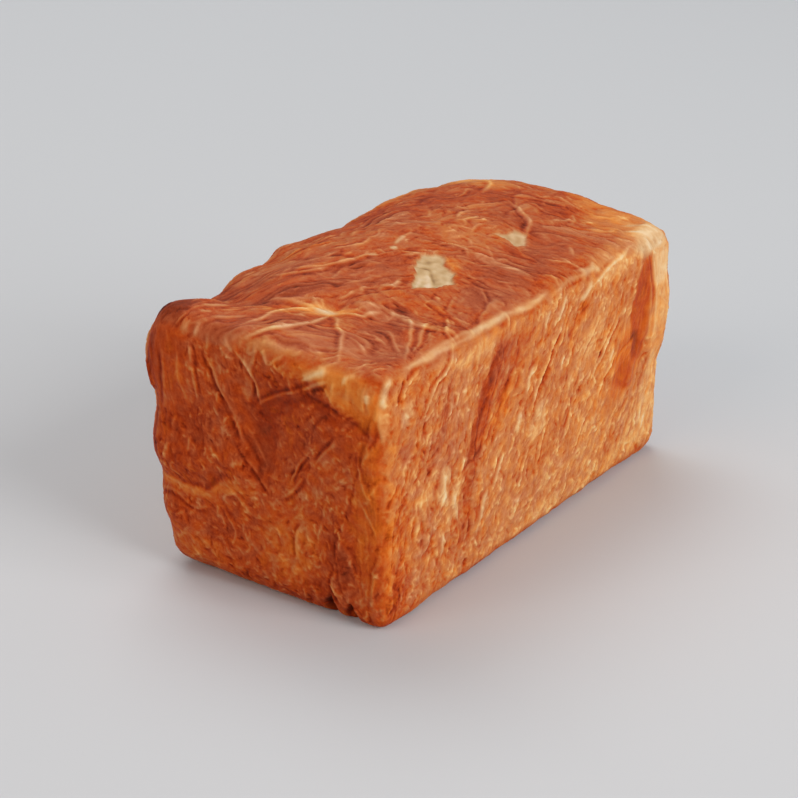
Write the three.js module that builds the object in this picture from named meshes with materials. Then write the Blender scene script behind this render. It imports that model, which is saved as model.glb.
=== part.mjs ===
// Danish pastry loaf: one solid piece of laminated dough, baked in a straight-sided loaf tin.
// Units are millimetres and +Z is up. X runs along the loaf, Y across it, and the origin is
// under the middle of the flat base. The crust is a rounded box whose grid of points is moved
// by the crown, the lobes of the rolled dough, the folds of its layers and the flaky crags.
import * as THREE from "three";
import { ImprovedNoise } from "three/addons/math/ImprovedNoise.js";
import { mergeVertices } from "three/addons/utils/BufferGeometryUtils.js";

// Driving dimensions of the baked loaf, without its crown, lobes and folds.
const LENGTH = 206;
const WIDTH = 106;
const HEIGHT = 97;
const BASE_TAPER = 2.8;

// Grid of the crust: steps along each side, of which EDGE_STEPS lie in each rounded edge.
const STEPS = { x: 48, y: 25, z: 24 };
const EDGE_STEPS = 3;
const EDGE_BAND = 9;

// Radius of the rounded edges at each corner of the loaf, blended in between.
// Near and far are the two ends, right and left are the long sides.
const CORNER_RADII = {
  nearRightTop: 6,
  nearRightBase: 5,
  nearLeftTop: 12,
  nearLeftBase: 15,
  farRightTop: 9,
  farRightBase: 7,
  farLeftTop: 12,
  farLeftBase: 10,
};

// The underside is flat where the crust faces straight down (outward z from -1 to flatTo),
// and the relief fades in up to full above it.
const UNDERSIDE = { flatTo: -0.95, fullReliefFrom: -0.45 };

// A face's own flat frame, seen from outside: u runs to the right and v downwards,
// both from the face's upper left corner.
const FACES = {
  nearEnd: { corner: [-1, 1, 1], right: [0, -1, 0], down: [0, 0, -1], size: [WIDTH, HEIGHT] },
  rightSide: { corner: [-1, -1, 1], right: [1, 0, 0], down: [0, 0, -1], size: [LENGTH, HEIGHT] },
  top: { corner: [-1, 1, 1], right: [1, 0, 0], down: [0, -1, 0], size: [LENGTH, WIDTH] },
  leftSide: { corner: [1, 1, 1], right: [-1, 0, 0], down: [0, 0, -1], size: [LENGTH, HEIGHT] },
  farEnd: { corner: [1, -1, 1], right: [0, 1, 0], down: [0, 0, -1], size: [WIDTH, HEIGHT] },
};

// The top's broad crown and the saddles between the rolls of dough, as lifts straight up
// at (u, v) on the top, each fading out at its reach along u and v.
const CROWN = [
  { at: [115, 34], reach: [171, 70], lift: 11.6 },
  { at: [6, 8], reach: [30, 30], lift: 2.4 },
  { at: [34, 0], reach: [22, 44], lift: -6.0 },
  { at: [61, 0], reach: [18, 26], lift: -2.6 },
  { at: [112, 0], reach: [34, 34], lift: -3.4 },
  { at: [155, 8], reach: [26, 24], lift: 1.4 },
  { at: [204, 66], reach: [40, 50], lift: 2.4 },
  { at: [205, 104], reach: [15, 13], lift: -2.6 },
  { at: [33, 59], reach: [15, 12], lift: -2.4 },
];

// Lobes and hollows of the baked dough, moved along the crust's own direction outwards.
const LOBES = [
  { face: "leftSide", at: [203, 20], reach: [34, 15], rise: 3.4 },
  { face: "leftSide", at: [203, 45], reach: [32, 19], rise: 2.7 },
  { face: "leftSide", at: [196, 72], reach: [34, 18], rise: 2.3 },
  { face: "leftSide", at: [60, 40], reach: [70, 40], rise: 1.8 },
  { face: "farEnd", at: [20, 30], reach: [50, 34], rise: 1.9 },
  { face: "farEnd", at: [70, 40], reach: [44, 46], rise: 1.2 },
  { face: "farEnd", at: [4, 82], reach: [22, 30], rise: -1.4 },
  { face: "nearEnd", at: [52, 38], reach: [17, 24], rise: -1.3 },
  { face: "nearEnd", at: [85, 10], reach: [22, 12], rise: 1.4 },
  { face: "nearEnd", at: [28, 82], reach: [44, 20], rise: 0.8 },
  { face: "rightSide", at: [66, 46], reach: [16, 44], rise: -1.3 },
  { face: "rightSide", at: [28, 30], reach: [30, 36], rise: 0.8 },
  { face: "rightSide", at: [112, 64], reach: [44, 34], rise: 0.9 },
  { face: "rightSide", at: [178, 38], reach: [17, 34], rise: -1.1 },
  { face: "rightSide", at: [198, 36], reach: [16, 34], rise: 0.9 },
];

// Folds of the dough's layers, each a bowed line from one place on a face to another. The
// layer is thick on the line's left and falls off steeply on its right: rise is its edge's
// height, width how far that height fades out on the thick side. A negative rise is a seam.
const FOLDS = [
  { face: "top", from: [27, -8], to: [33, 58], bow: 3, width: 9, rise: -2.2 },
  { face: "top", from: [33, 59], to: [2, 36], bow: -5, width: 9, rise: 1.3 },
  { face: "top", from: [4, 84], to: [33, 61], bow: 6, width: 9, rise: 1.3 },
  { face: "top", from: [34, 60], to: [66, 78], bow: 4, width: 10, rise: 1.1 },
  { face: "top", from: [120, 48], to: [40, 36], bow: 9, width: 12, rise: 1.3 },
  { face: "top", from: [104, 34], to: [50, 24], bow: 8, width: 10, rise: 1.2 },
  { face: "top", from: [62, 106], to: [30, 78], bow: -5, width: 10, rise: 1.2 },
  { face: "top", from: [98, 72], to: [120, 104], bow: 8, width: 11, rise: 1.2 },
  { face: "top", from: [136, 100], to: [172, 58], bow: 8, width: 11, rise: 1.3 },
  { face: "top", from: [150, 70], to: [118, 50], bow: 6, width: 10, rise: 1.1 },
  { face: "top", from: [200, 40], to: [160, 20], bow: 6, width: 12, rise: 1.2 },
  { face: "nearEnd", from: [-2, 30], to: [22, 26], bow: 3, width: 7, rise: -0.6 },
  { face: "nearEnd", from: [-2, 61], to: [46, 52], bow: -4, width: 9, rise: 1.6 },
  { face: "nearEnd", from: [-2, 61], to: [18, 62], bow: 1, width: 7, rise: -1.8 },
  { face: "nearEnd", from: [-2, 79], to: [14, 80], bow: 2, width: 7, rise: -1.6 },
  { face: "nearEnd", from: [55, 60], to: [36, 20], bow: -4, width: 9, rise: 1.3 },
  { face: "nearEnd", from: [84, 14], to: [60, 56], bow: -3, width: 9, rise: 1.3 },
  { face: "nearEnd", from: [100, 22], to: [66, 12], bow: -5, width: 8, rise: 1.4 },
  { face: "nearEnd", from: [28, 24], to: [22, 1], bow: 2, width: 7, rise: 1.0 },
  { face: "nearEnd", from: [42, 22], to: [32, 1], bow: 2, width: 7, rise: 1.0 },
  { face: "nearEnd", from: [90, 92], to: [94, 26], bow: -3, width: 8, rise: 1.1 },
  { face: "rightSide", from: [95, 48], to: [119, 18], bow: 1, width: 9, rise: 1.5 },
  { face: "rightSide", from: [70, 16], to: [58, 80], bow: 3, width: 9, rise: 1.3 },
  { face: "rightSide", from: [24, 76], to: [44, 44], bow: -4, width: 10, rise: 1.2 },
  { face: "rightSide", from: [66, 78], to: [82, 58], bow: 2, width: 9, rise: 1.1 },
  { face: "rightSide", from: [132, 76], to: [164, 36], bow: 5, width: 10, rise: 1.2 },
  { face: "rightSide", from: [170, 10], to: [168, 66], bow: -4, width: 10, rise: 1.3 },
  { face: "rightSide", from: [188, 62], to: [184, 12], bow: 4, width: 10, rise: 1.4 },
  { face: "rightSide", from: [206, 56], to: [190, 60], bow: 1, width: 8, rise: -1.8 },
  { face: "rightSide", from: [8, 22], to: [40, 6], bow: 2, width: 8, rise: 1.0 },
];

// The sides that lie against the tin out of sight have the same kind of folds, drawn by rule.
const HIDDEN_FOLDS = {
  faces: [
    { face: "leftSide", count: 13 },
    { face: "farEnd", count: 7 },
  ],
  seed: 47,
  length: [26, 62],
  slope: [0.55, 1.25],
  bow: [-6, 6],
  width: [8, 11],
  rise: [1.0, 1.5],
};

// Small gaps at the foot of the near end, where layers came apart.
const NICKS = [
  { at: [80, 96], reach: [5, 7], depth: 2.4 },
  { at: [89, 96], reach: [5, 7], depth: 2.6 },
];

// Crags and flakes of the crust: ridges of noise, as deep as the flakes stand up.
const CRAGS = [
  { size: 17, depth: 0.9, stretch: [1, 1, 1.5] },
  { size: 9, depth: 0.7, stretch: [1.3, 1, 1] },
];

const CURVE_STEPS = 8;
const MERGE_DISTANCE = 1e-3;

const noise = new ImprovedNoise();

// Where a uniform grid coordinate from -half to half goes, so that the rounded edge
// gets steps of equal angle and the rest of the side gets even ones.
function gradedCoordinate(value, half, steps) {
  const index = Math.round(((value / half + 1) / 2) * steps);
  const fromEdge = Math.min(index, steps - index);
  const side = index < steps / 2 ? -1 : 1;
  if (fromEdge >= EDGE_STEPS) {
    const inner = half - EDGE_BAND;
    const share = (index - EDGE_STEPS) / (steps - 2 * EDGE_STEPS);
    return THREE.MathUtils.lerp(-inner, inner, share);
  }
  const angle = (Math.PI / 4) * (1 - fromEdge / EDGE_STEPS);
  return side * (half - EDGE_BAND * (1 - Math.tan(angle)));
}

// The eight corner radii blended at a point given in shares of the half sizes.
function edgeRadius(share) {
  const [fx, fy, fz] = share.toArray().map((s) => (s + 1) / 2);
  const r = CORNER_RADII;
  const lerp = THREE.MathUtils.lerp;
  const near = lerp(lerp(r.nearRightBase, r.nearRightTop, fz), lerp(r.nearLeftBase, r.nearLeftTop, fz), fy);
  const far = lerp(lerp(r.farRightBase, r.farRightTop, fz), lerp(r.farLeftBase, r.farLeftTop, fz), fy);
  return lerp(near, far, fx);
}

// Rounds one point of the box and gives its place and outward direction.
function roundedPoint(point, half) {
  const radius = edgeRadius(point.clone().divide(half));
  const inner = half.clone().subScalar(radius);
  const core = point.clone().clamp(inner.clone().negate(), inner);
  const outward = point.clone().sub(core).normalize();
  return { place: core.addScaledVector(outward, radius), outward };
}

// The frame of a face as vectors, with its outward normal.
function faceFrame(name, half) {
  const face = FACES[name];
  const right = new THREE.Vector3(...face.right);
  const down = new THREE.Vector3(...face.down);
  const corner = half.clone().multiply(new THREE.Vector3(...face.corner));
  return { corner, right, down, normal: down.clone().cross(right) };
}

// How far a mound on a face reaches at a place, from 1 at its middle to 0 at its rim.
function moundShare(frame, mound, place) {
  const fromCorner = place.clone().sub(frame.corner);
  const u = (fromCorner.dot(frame.right) - mound.at[0]) / mound.reach[0];
  const v = (fromCorner.dot(frame.down) - mound.at[1]) / mound.reach[1];
  const depth = fromCorner.dot(frame.normal) / Math.max(...mound.reach);
  return 1 - THREE.MathUtils.smoothstep(Math.hypot(u, v, depth), 0, 1);
}

// A fold's bowed line in space, with its face's normal to tell its two sides apart.
function foldLine(fold, half) {
  const frame = faceFrame(fold.face, half);
  const at = ([u, v]) => frame.corner.clone().addScaledVector(frame.right, u).addScaledVector(frame.down, v);
  const start = at(fold.from);
  const end = at(fold.to);
  const across = end.clone().sub(start).cross(frame.normal).normalize();
  const middle = start.clone().lerp(end, 0.5).addScaledVector(across, 2 * fold.bow);
  const points = new THREE.QuadraticBezierCurve3(start, middle, end).getPoints(CURVE_STEPS);
  return { ...fold, points, normal: frame.normal };
}

// What a fold adds to the crust at a place: its edge's height on the thick side of the
// line, fading out with distance and towards the line's ends.
function foldRise(fold, place) {
  const nearest = new THREE.Vector3();
  const segment = new THREE.Line3();
  let best = Infinity;
  let signed = 0;
  let along = 0;
  for (let i = 0; i < CURVE_STEPS; i += 1) {
    segment.set(fold.points[i], fold.points[i + 1]);
    const share = segment.closestPointToPointParameter(place, true);
    segment.at(share, nearest);
    const offset = place.clone().sub(nearest);
    const distance = offset.length();
    if (distance < best) {
      const direction = fold.points[i + 1].clone().sub(fold.points[i]);
      const side = Math.sign(fold.normal.dot(direction.cross(offset)));
      best = distance;
      signed = side * distance;
      along = (i + share) / CURVE_STEPS;
    }
  }
  const taper = Math.sin(Math.PI * THREE.MathUtils.clamp(along, 0.04, 0.96)) ** 0.5;
  if (fold.rise < 0) return fold.rise * taper * (1 - THREE.MathUtils.smoothstep(best, 0, fold.width));
  const reach = signed > 0 ? fold.width * 1.4 : fold.width * 0.45;
  return fold.rise * taper * (1 - THREE.MathUtils.smoothstep(Math.abs(signed), 0, reach));
}

// Folds for the faces out of sight, with their places and sizes from a seeded draw.
function hiddenFolds() {
  const rule = HIDDEN_FOLDS;
  const draw = ([low, high], salt) => THREE.MathUtils.lerp(low, high, THREE.MathUtils.seededRandom(rule.seed + salt));
  const folds = [];
  for (const { face, count } of rule.faces) {
    const [across, tall] = FACES[face].size;
    for (let i = 0; i < count; i += 1) {
      const salt = 97 * folds.length;
      const from = [draw([0, across], salt + 1), draw([0.15 * tall, 0.95 * tall], salt + 2)];
      const length = draw(rule.length, salt + 3);
      const angle = draw(rule.slope, salt + 4);
      const to = [from[0] + length * Math.cos(angle), from[1] - length * Math.sin(angle)];
      const bow = draw(rule.bow, salt + 5);
      const width = draw(rule.width, salt + 6);
      folds.push({ face, from, to, bow, width, rise: draw(rule.rise, salt + 7) });
    }
  }
  return folds;
}

// Ridged noise of the flaky crust at a place.
function cragRise(place) {
  let rise = 0;
  for (const { size, depth, stretch } of CRAGS) {
    const [x, y, z] = place.toArray().map((value, axis) => value / (size * stretch[axis]));
    rise += depth * (0.5 - 2 * Math.abs(noise.noise(x, y, z)));
  }
  return rise;
}

function buildLoaf() {
  const half = new THREE.Vector3(LENGTH, WIDTH, HEIGHT).divideScalar(2);
  const top = faceFrame("top", half);
  const lobes = LOBES.map((lobe) => ({ lobe, frame: faceFrame(lobe.face, half) }));
  const nicks = faceFrame("nearEnd", half);
  const folds = [...FOLDS, ...hiddenFolds()].map((fold) => foldLine(fold, half));
  const box = new THREE.BoxGeometry(LENGTH, WIDTH, HEIGHT, STEPS.x, STEPS.y, STEPS.z);
  const position = box.getAttribute("position");
  for (let i = 0; i < position.count; i += 1) {
    const point = new THREE.Vector3(
      gradedCoordinate(position.getX(i), half.x, STEPS.x),
      gradedCoordinate(position.getY(i), half.y, STEPS.y),
      gradedCoordinate(position.getZ(i), half.z, STEPS.z),
    );
    const { place, outward } = roundedPoint(point, half);
    const relief = THREE.MathUtils.smoothstep(outward.z, UNDERSIDE.flatTo, UNDERSIDE.fullReliefFrom);
    const onTop = place.clone().setZ(half.z);
    let lift = 0;
    for (const mound of CROWN) lift += mound.lift * moundShare(top, mound, onTop);
    let rise = cragRise(place);
    for (const { lobe, frame } of lobes) rise += lobe.rise * moundShare(frame, lobe, place);
    for (const nick of NICKS) rise -= nick.depth * moundShare(nicks, nick, place);
    for (const fold of folds) rise += foldRise(fold, place);
    const height = THREE.MathUtils.smoothstep(place.z, -half.z / 4, half.z);
    const narrowing = (BASE_TAPER * (1 - place.z / half.z)) / 2;
    place.addScaledVector(outward, rise * relief);
    place.z += lift * height;
    place.x *= 1 - narrowing / half.x;
    place.y *= 1 - narrowing / half.y;
    const flat = relief === 0 ? 0 : Math.max(place.z + half.z, 0);
    position.setXYZ(i, place.x, place.y, flat);
  }
  box.deleteAttribute("normal");
  box.deleteAttribute("uv");
  const merged = mergeVertices(box, MERGE_DISTANCE);
  merged.computeBoundingBox();
  const middle = merged.boundingBox.getCenter(new THREE.Vector3());
  return merged.translate(-middle.x, -middle.y, 0);
}

const crust = new THREE.MeshStandardMaterial({ color: 0xb5622a, roughness: 0.6, metalness: 0 });
const loaf = new THREE.Mesh(buildLoaf(), crust);
loaf.name = "loaf";

const model = new THREE.Group();
model.add(loaf);

export default model;
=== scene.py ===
"""A whole danish pastry loaf, baked in a straight-sided tin, at real size.

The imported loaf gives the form. Its crust is modelled on a fine copy of it: dough sheets that overlap, folds
between them, flakes along the grain of the rolled dough, torn places with raw dough, and browning that
follows all of these. The copy is then cut into six wedges, one for each face of the tin, that meet in the
middle of the loaf. Lengths are millimetres on each face's own grid, and metres in Blender.
"""

import logging
import math
from collections.abc import Sequence
from dataclasses import dataclass
from enum import Enum, IntEnum

import bpy
import numpy as np
from mathutils import Matrix, Vector

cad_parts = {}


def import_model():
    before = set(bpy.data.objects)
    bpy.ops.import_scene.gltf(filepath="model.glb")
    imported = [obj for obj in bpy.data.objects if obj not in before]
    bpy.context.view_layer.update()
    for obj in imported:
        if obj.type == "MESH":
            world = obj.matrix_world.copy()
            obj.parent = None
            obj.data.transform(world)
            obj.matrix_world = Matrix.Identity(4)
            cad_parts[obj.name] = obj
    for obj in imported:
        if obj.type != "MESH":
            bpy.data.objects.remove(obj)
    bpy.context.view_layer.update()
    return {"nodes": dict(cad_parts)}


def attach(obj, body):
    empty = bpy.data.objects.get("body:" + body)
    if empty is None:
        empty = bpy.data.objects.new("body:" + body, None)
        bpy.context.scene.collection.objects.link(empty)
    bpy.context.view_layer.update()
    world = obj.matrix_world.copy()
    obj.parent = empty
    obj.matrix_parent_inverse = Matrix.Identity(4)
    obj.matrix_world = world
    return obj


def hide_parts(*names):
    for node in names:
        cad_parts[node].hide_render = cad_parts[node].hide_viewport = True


LOG = logging.getLogger("danish_pastry_loaf")
MM = 0.001

# The tin's inside in mm, and where its middle lies in the part's frame.
LENGTH = 206.0
WIDTH = 106.0
HEIGHT = 97.0
TIN_MIDDLE = (-0.25, -0.58)
EDGE_ROUND = 9.0

# A face with less than this share at a point leaves nothing to be seen there.
LEAST_SHARE = 0.003

Point = tuple[float, float]
Triple = tuple[float, float, float]
ColourRun = tuple[tuple[float, str], ...]
Grid = np.ndarray
Piece = bpy.types.Object
Socket = bpy.types.NodeSocket
Tree = bpy.types.NodeTree

# How far apart nodes lie in the node editor.
NODE_STEP = 200


def linear_colour(code: str) -> tuple[float, float, float, float]:
    """Turns an sRGB colour into the linear one that shaders work in.

    Args:
        code: the colour as six hex digits.

    Returns:
        Red, green, blue and alpha, each from 0 to 1.
    """
    parts = [int(code[i : i + 2], 16) / 255 for i in (0, 2, 4)]
    red, green, blue = (c / 12.92 if c <= 0.04045 else ((c + 0.055) / 1.055) ** 2.4 for c in parts)
    return red, green, blue, 1.0


def ramp_up(low: float, high: float, value: Grid) -> Grid:
    """Climbs smoothly from 0 at low to 1 at high.

    Args:
        low: where the climb starts.
        high: where it ends.
        value: the numbers to look up.

    Returns:
        The share climbed at each number.
    """
    share = np.clip((value - low) / (high - low), 0.0, 1.0)
    return share * share * (3.0 - 2.0 * share)


# The slopes that waves picks from, and odd numbers that mix a place and a seed well.
SLOPES = 256
TURNS = [k * math.tau / SLOPES for k in range(SLOPES)]
COMPASS = np.array([(math.cos(turn), math.sin(turn)) for turn in TURNS])
MIX_U = np.uint32(374761393)
MIX_V = np.uint32(668265263)
MIX_SEED = 1442695041
MIX_LIMIT = 4294967291
MIX_AGAIN = np.uint32(1274126177)


def waves(u: Grid, v: Grid, seed: int) -> Grid:
    """Smooth random waves, about one unit apart, the same for the same seed.

    Args:
        u: places along the first axis.
        v: places along the second axis.
        seed: picks the pattern.

    Returns:
        A height at each place, mostly between -1 and 1.
    """
    off_u = u - np.floor(u)
    off_v = v - np.floor(v)
    cell_u = np.floor(u).astype(np.int64).astype(np.uint32)
    cell_v = np.floor(v).astype(np.int64).astype(np.uint32)
    ease_u = off_u * off_u * off_u * (off_u * (off_u * 6 - 15) + 10)
    ease_v = off_v * off_v * off_v * (off_v * (off_v * 6 - 15) + 10)

    def corner(step_u: int, step_v: int) -> Grid:
        """How far the slope at one corner of the cell lifts each place."""
        mixed = (cell_u + np.uint32(step_u)) * MIX_U + (cell_v + np.uint32(step_v)) * MIX_V
        mixed = mixed + np.uint32((seed * MIX_SEED) % MIX_LIMIT)
        mixed = (mixed ^ (mixed >> np.uint32(13))) * MIX_AGAIN
        slope = COMPASS[(mixed ^ (mixed >> np.uint32(16))) & np.uint32(SLOPES - 1)]
        return slope[:, 0] * (off_u - step_u) + slope[:, 1] * (off_v - step_v)

    near = corner(0, 0) * (1 - ease_u) + corner(1, 0) * ease_u
    far = corner(0, 1) * (1 - ease_u) + corner(1, 1) * ease_u
    return 1.5 * (near * (1 - ease_v) + far * ease_v)


class Side(Enum):
    """A face of the tin: the corner where its grid starts, its two grid axes and its size in mm."""

    NEAR_END = ((-LENGTH / 2, WIDTH / 2, HEIGHT), (0, -1, 0), (0, 0, -1), (WIDTH, HEIGHT))
    RIGHT = ((-LENGTH / 2, -WIDTH / 2, HEIGHT), (1, 0, 0), (0, 0, -1), (LENGTH, HEIGHT))
    TOP = ((-LENGTH / 2, WIDTH / 2, HEIGHT), (1, 0, 0), (0, -1, 0), (LENGTH, WIDTH))
    LEFT = ((LENGTH / 2, WIDTH / 2, HEIGHT), (-1, 0, 0), (0, 0, -1), (LENGTH, HEIGHT))
    FAR_END = ((LENGTH / 2, -WIDTH / 2, HEIGHT), (0, 1, 0), (0, 0, -1), (WIDTH, HEIGHT))
    BASE = ((-LENGTH / 2, -WIDTH / 2, 0.0), (1, 0, 0), (0, 1, 0), (LENGTH, WIDTH))

    @property
    def corner(self) -> Grid:
        """The corner of the grid in the part's frame, in mm."""
        return np.array(self.value[0], float) + np.array([*TIN_MIDDLE, 0.0])

    @property
    def along(self) -> Grid:
        """The grid's first axis, u."""
        return np.array(self.value[1], float)

    @property
    def across(self) -> Grid:
        """The grid's second axis, v."""
        return np.array(self.value[2], float)

    @property
    def outward(self) -> Grid:
        """The way the face looks."""
        return -np.cross(self.along, self.across)

    @property
    def size(self) -> Point:
        """The length of the face along u and along v, in mm."""
        return self.value[3]


class Pattern(IntEnum):
    """The random patterns of a face, each with its own distance from the face's seed."""

    BROAD_CLOUDS = 1
    CLOUDS = 2
    CLOUD_TINT = 3
    SWIRL = 7
    SWAY_U = 11
    SWAY_V = 12
    CURLY = 21
    STRAIGHT = 25
    MIXTURE = 29
    PITS = 33
    BROAD_STREAKS = 37
    TINT = 41
    BLOTCHES = 43
    RAGGED_U = 51
    RAGGED_V = 52
    RAW_SHADE = 53


@dataclass(frozen=True)
class Stroke:
    """A ridge or groove between two dough layers, drawn through a few points of a face.

    points: places on the face's grid in mm. width: its breadth in mm. rise: its height in mm, below 0 for a
    groove. tone: how much browner it is, below 0 for paler; the darker tone of a groove or notch is painted
    shade in it. lip: depth in mm of the gap on its right hand, below 0 for the left, darkened as a painted
    shadow beside the ridge. raw: how much unbrowned dough it shows.
    """

    points: tuple[Point, ...]
    width: float = 1.5
    rise: float = 0.45
    tone: float = -0.22
    lip: float = 0.0
    raw: float = 0.0


@dataclass(frozen=True)
class Patch:
    """A rounded area of crust with its own browning.

    at: its middle in mm. size: its length and breadth in mm. turn: degrees from +u towards the top of the
    face. tone: how much browner it is; where the patch sinks, its darker tone is painted shade in the hollow.
    rise: its height in mm. soft: breadth of its edge in mm. calm: how smooth it is, from 0 to 1. hue: from -1
    mauve, a pinkish brown that on the top also paints the greyish sheen of glossy crust, to 1 golden. raw:
    how
    much unbrowned dough it shows. rim: height in mm of the paler edge of a sheet, beyond which the sunken gap
    is darkened as a painted shadow. grain: degrees that the grain runs at in it, or None for the face's own.
    """

    at: Point
    size: Point
    turn: float = 0.0
    tone: float = 0.0
    rise: float = 0.0
    soft: float = 4.0
    calm: float = 0.0
    hue: float = 0.0
    raw: float = 0.0
    rim: float = 0.0
    grain: float | None = None


@dataclass(frozen=True)
class Tear:
    """A place where the crust split as the dough rose, with raw dough in it.

    outline: its corners in mm. depth: how far its floor lies under the crust in mm. raw: how pale it is.
    marks: strands and creases of the dough inside it.
    """

    outline: tuple[Point, ...]
    depth: float = 0.6
    raw: float = 1.0
    marks: tuple[Stroke, ...] = ()


@dataclass(frozen=True)
class Guide:
    """Which way the rolled dough's grain runs near a place.

    at: the place in mm. angle: degrees from +u towards the top. reach: how far it is felt in mm. curl: how
    much the grain swirls there, from 0 to 1.
    """

    at: Point
    angle: float
    reach: float = 22.0
    curl: float = 0.0


@dataclass(frozen=True)
class FaceDesign:
    """All that is to be seen on one face of the loaf.

    brown and hue: its even browning and hue. wormy: how strong its fine grain is. curly: how far flakes take
    the place of straight streaks, from 0 to 1. pitted: how deep its pits are. scale: size of its grain, 1 for
    the usual. relief: height of its folds, as a share of what they say. dash_mm: shortest and longest small
    flake. sheets, dashes and folds: how many of each are scattered by the face's seed.
    """

    side: Side
    seed: int
    brown: float
    hue: float
    guides: tuple[Guide, ...]
    patches: tuple[Patch, ...] = ()
    strokes: tuple[Stroke, ...] = ()
    tears: tuple[Tear, ...] = ()
    wormy: float = 1.0
    curly: float = 0.0
    pitted: float = 1.0
    scale: float = 1.0
    relief: float = 0.6
    dash_mm: Point = (1.6, 6.0)
    sheets: int = 60
    dashes: int = 260
    folds: int = 0


@dataclass
class CrustLayer:
    """Height in mm, browning, hue, rawness and gloss of the crust at each point of a mesh."""

    rise: Grid
    # brown: browning, which also carries painted shade in grooves, pits and gaps and a painted contact shadow
    # at the foot.
    brown: Grid
    hue: Grid
    raw: Grid
    calm: Grid

    @classmethod
    def bare(cls, count: int, brown: float = 0.0, hue: float = 0.0) -> "CrustLayer":
        """An even layer over a number of points."""
        return cls(*(np.full(count, value) for value in (0.0, brown, hue, 0.0, 0.0)))

    def reordered(self, order: Grid) -> "CrustLayer":
        """Puts sorted points back in the order that they came in."""
        back = np.argsort(order, kind="stable")
        return CrustLayer(*(values[back] for values in vars(self).values()))

    def add(self, chosen: Grid, other: "CrustLayer", share: Grid) -> None:
        """Adds a share of another layer's values to the chosen points."""
        for name, values in vars(self).items():
            values[chosen] += getattr(other, name) * share

    def cover(self, chosen: Grid, share: Grid, raw: float = 0.0, calm: float = 0.0) -> None:
        """Makes the chosen points at least as raw and as calm as a share of the amounts given."""
        self.raw[chosen] = np.maximum(self.raw[chosen], raw * share)
        self.calm[chosen] = np.maximum(self.calm[chosen], calm * share)


@dataclass(frozen=True)
class Streaks:
    """Random streaks along the grain, like the edges of thin layers in a rolled dough.

    width: breadth of one in mm. reach: how far it is drawn out either way in mm. curl: how far it swings off
    the grain, in radians. pattern: picks the waves, and the next seed how they swing.
    """

    width: float
    reach: float
    curl: float
    pattern: Pattern


def curve_through(points: Sequence[Point], steps: int) -> Grid:
    """A smooth line through points, after Catmull and Rom's rule.

    Args:
        points: at least two places in mm.
        steps: straight pieces between two of them.

    Returns:
        The places along the line, one row each.
    """
    known = np.array(points, float)
    padded = np.vstack([2 * known[0] - known[1], known, 2 * known[-1] - known[-2]])
    made = []
    for k in range(1, len(padded) - 2):
        before, start, end, after = padded[k - 1 : k + 3]
        for share in np.arange(steps) / steps:
            bend = 2 * before - 5 * start + 4 * end - after
            twist = -before + 3 * start - 3 * end + after
            made.append(start + 0.5 * share * (end - before + share * (bend + share * twist)))
    made.append(known[-1])
    return np.array(made)


def bowed_line(middle: Grid, angle: float, half: float, bow: float) -> tuple[Point, ...]:
    """Three points of a bowed line.

    Args:
        middle: where it lies in mm.
        angle: its direction in radians from +u towards the top.
        half: half its length in mm.
        bow: how far its middle is pushed aside in mm.

    Returns:
        Its start, its middle and its end.
    """
    along = np.array([math.cos(angle), -math.sin(angle)])
    aside = np.array([math.sin(angle), math.cos(angle)])
    return tuple(middle - half * along), tuple(middle + bow * aside), tuple(middle + half * along)


def gaps_to_piece(u: Grid, v: Grid, start: Grid, step: Grid) -> tuple[Grid, Grid, Grid]:
    """Measures from places to a straight piece of a line.

    Args:
        u: the places along the face in mm.
        v: the places across it in mm.
        start: where the piece starts.
        step: the way from its start to its end.

    Returns:
        The share along the piece that lies nearest to each place, and the gap from there along u and v.
    """
    length = max(float(np.hypot(*step)), 1e-6)
    share = np.clip(((u - start[0]) * step[0] + (v - start[1]) * step[1]) / length**2, 0.0, 1.0)
    return share, u - start[0] - share * step[0], v - start[1] - share * step[1]


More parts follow.
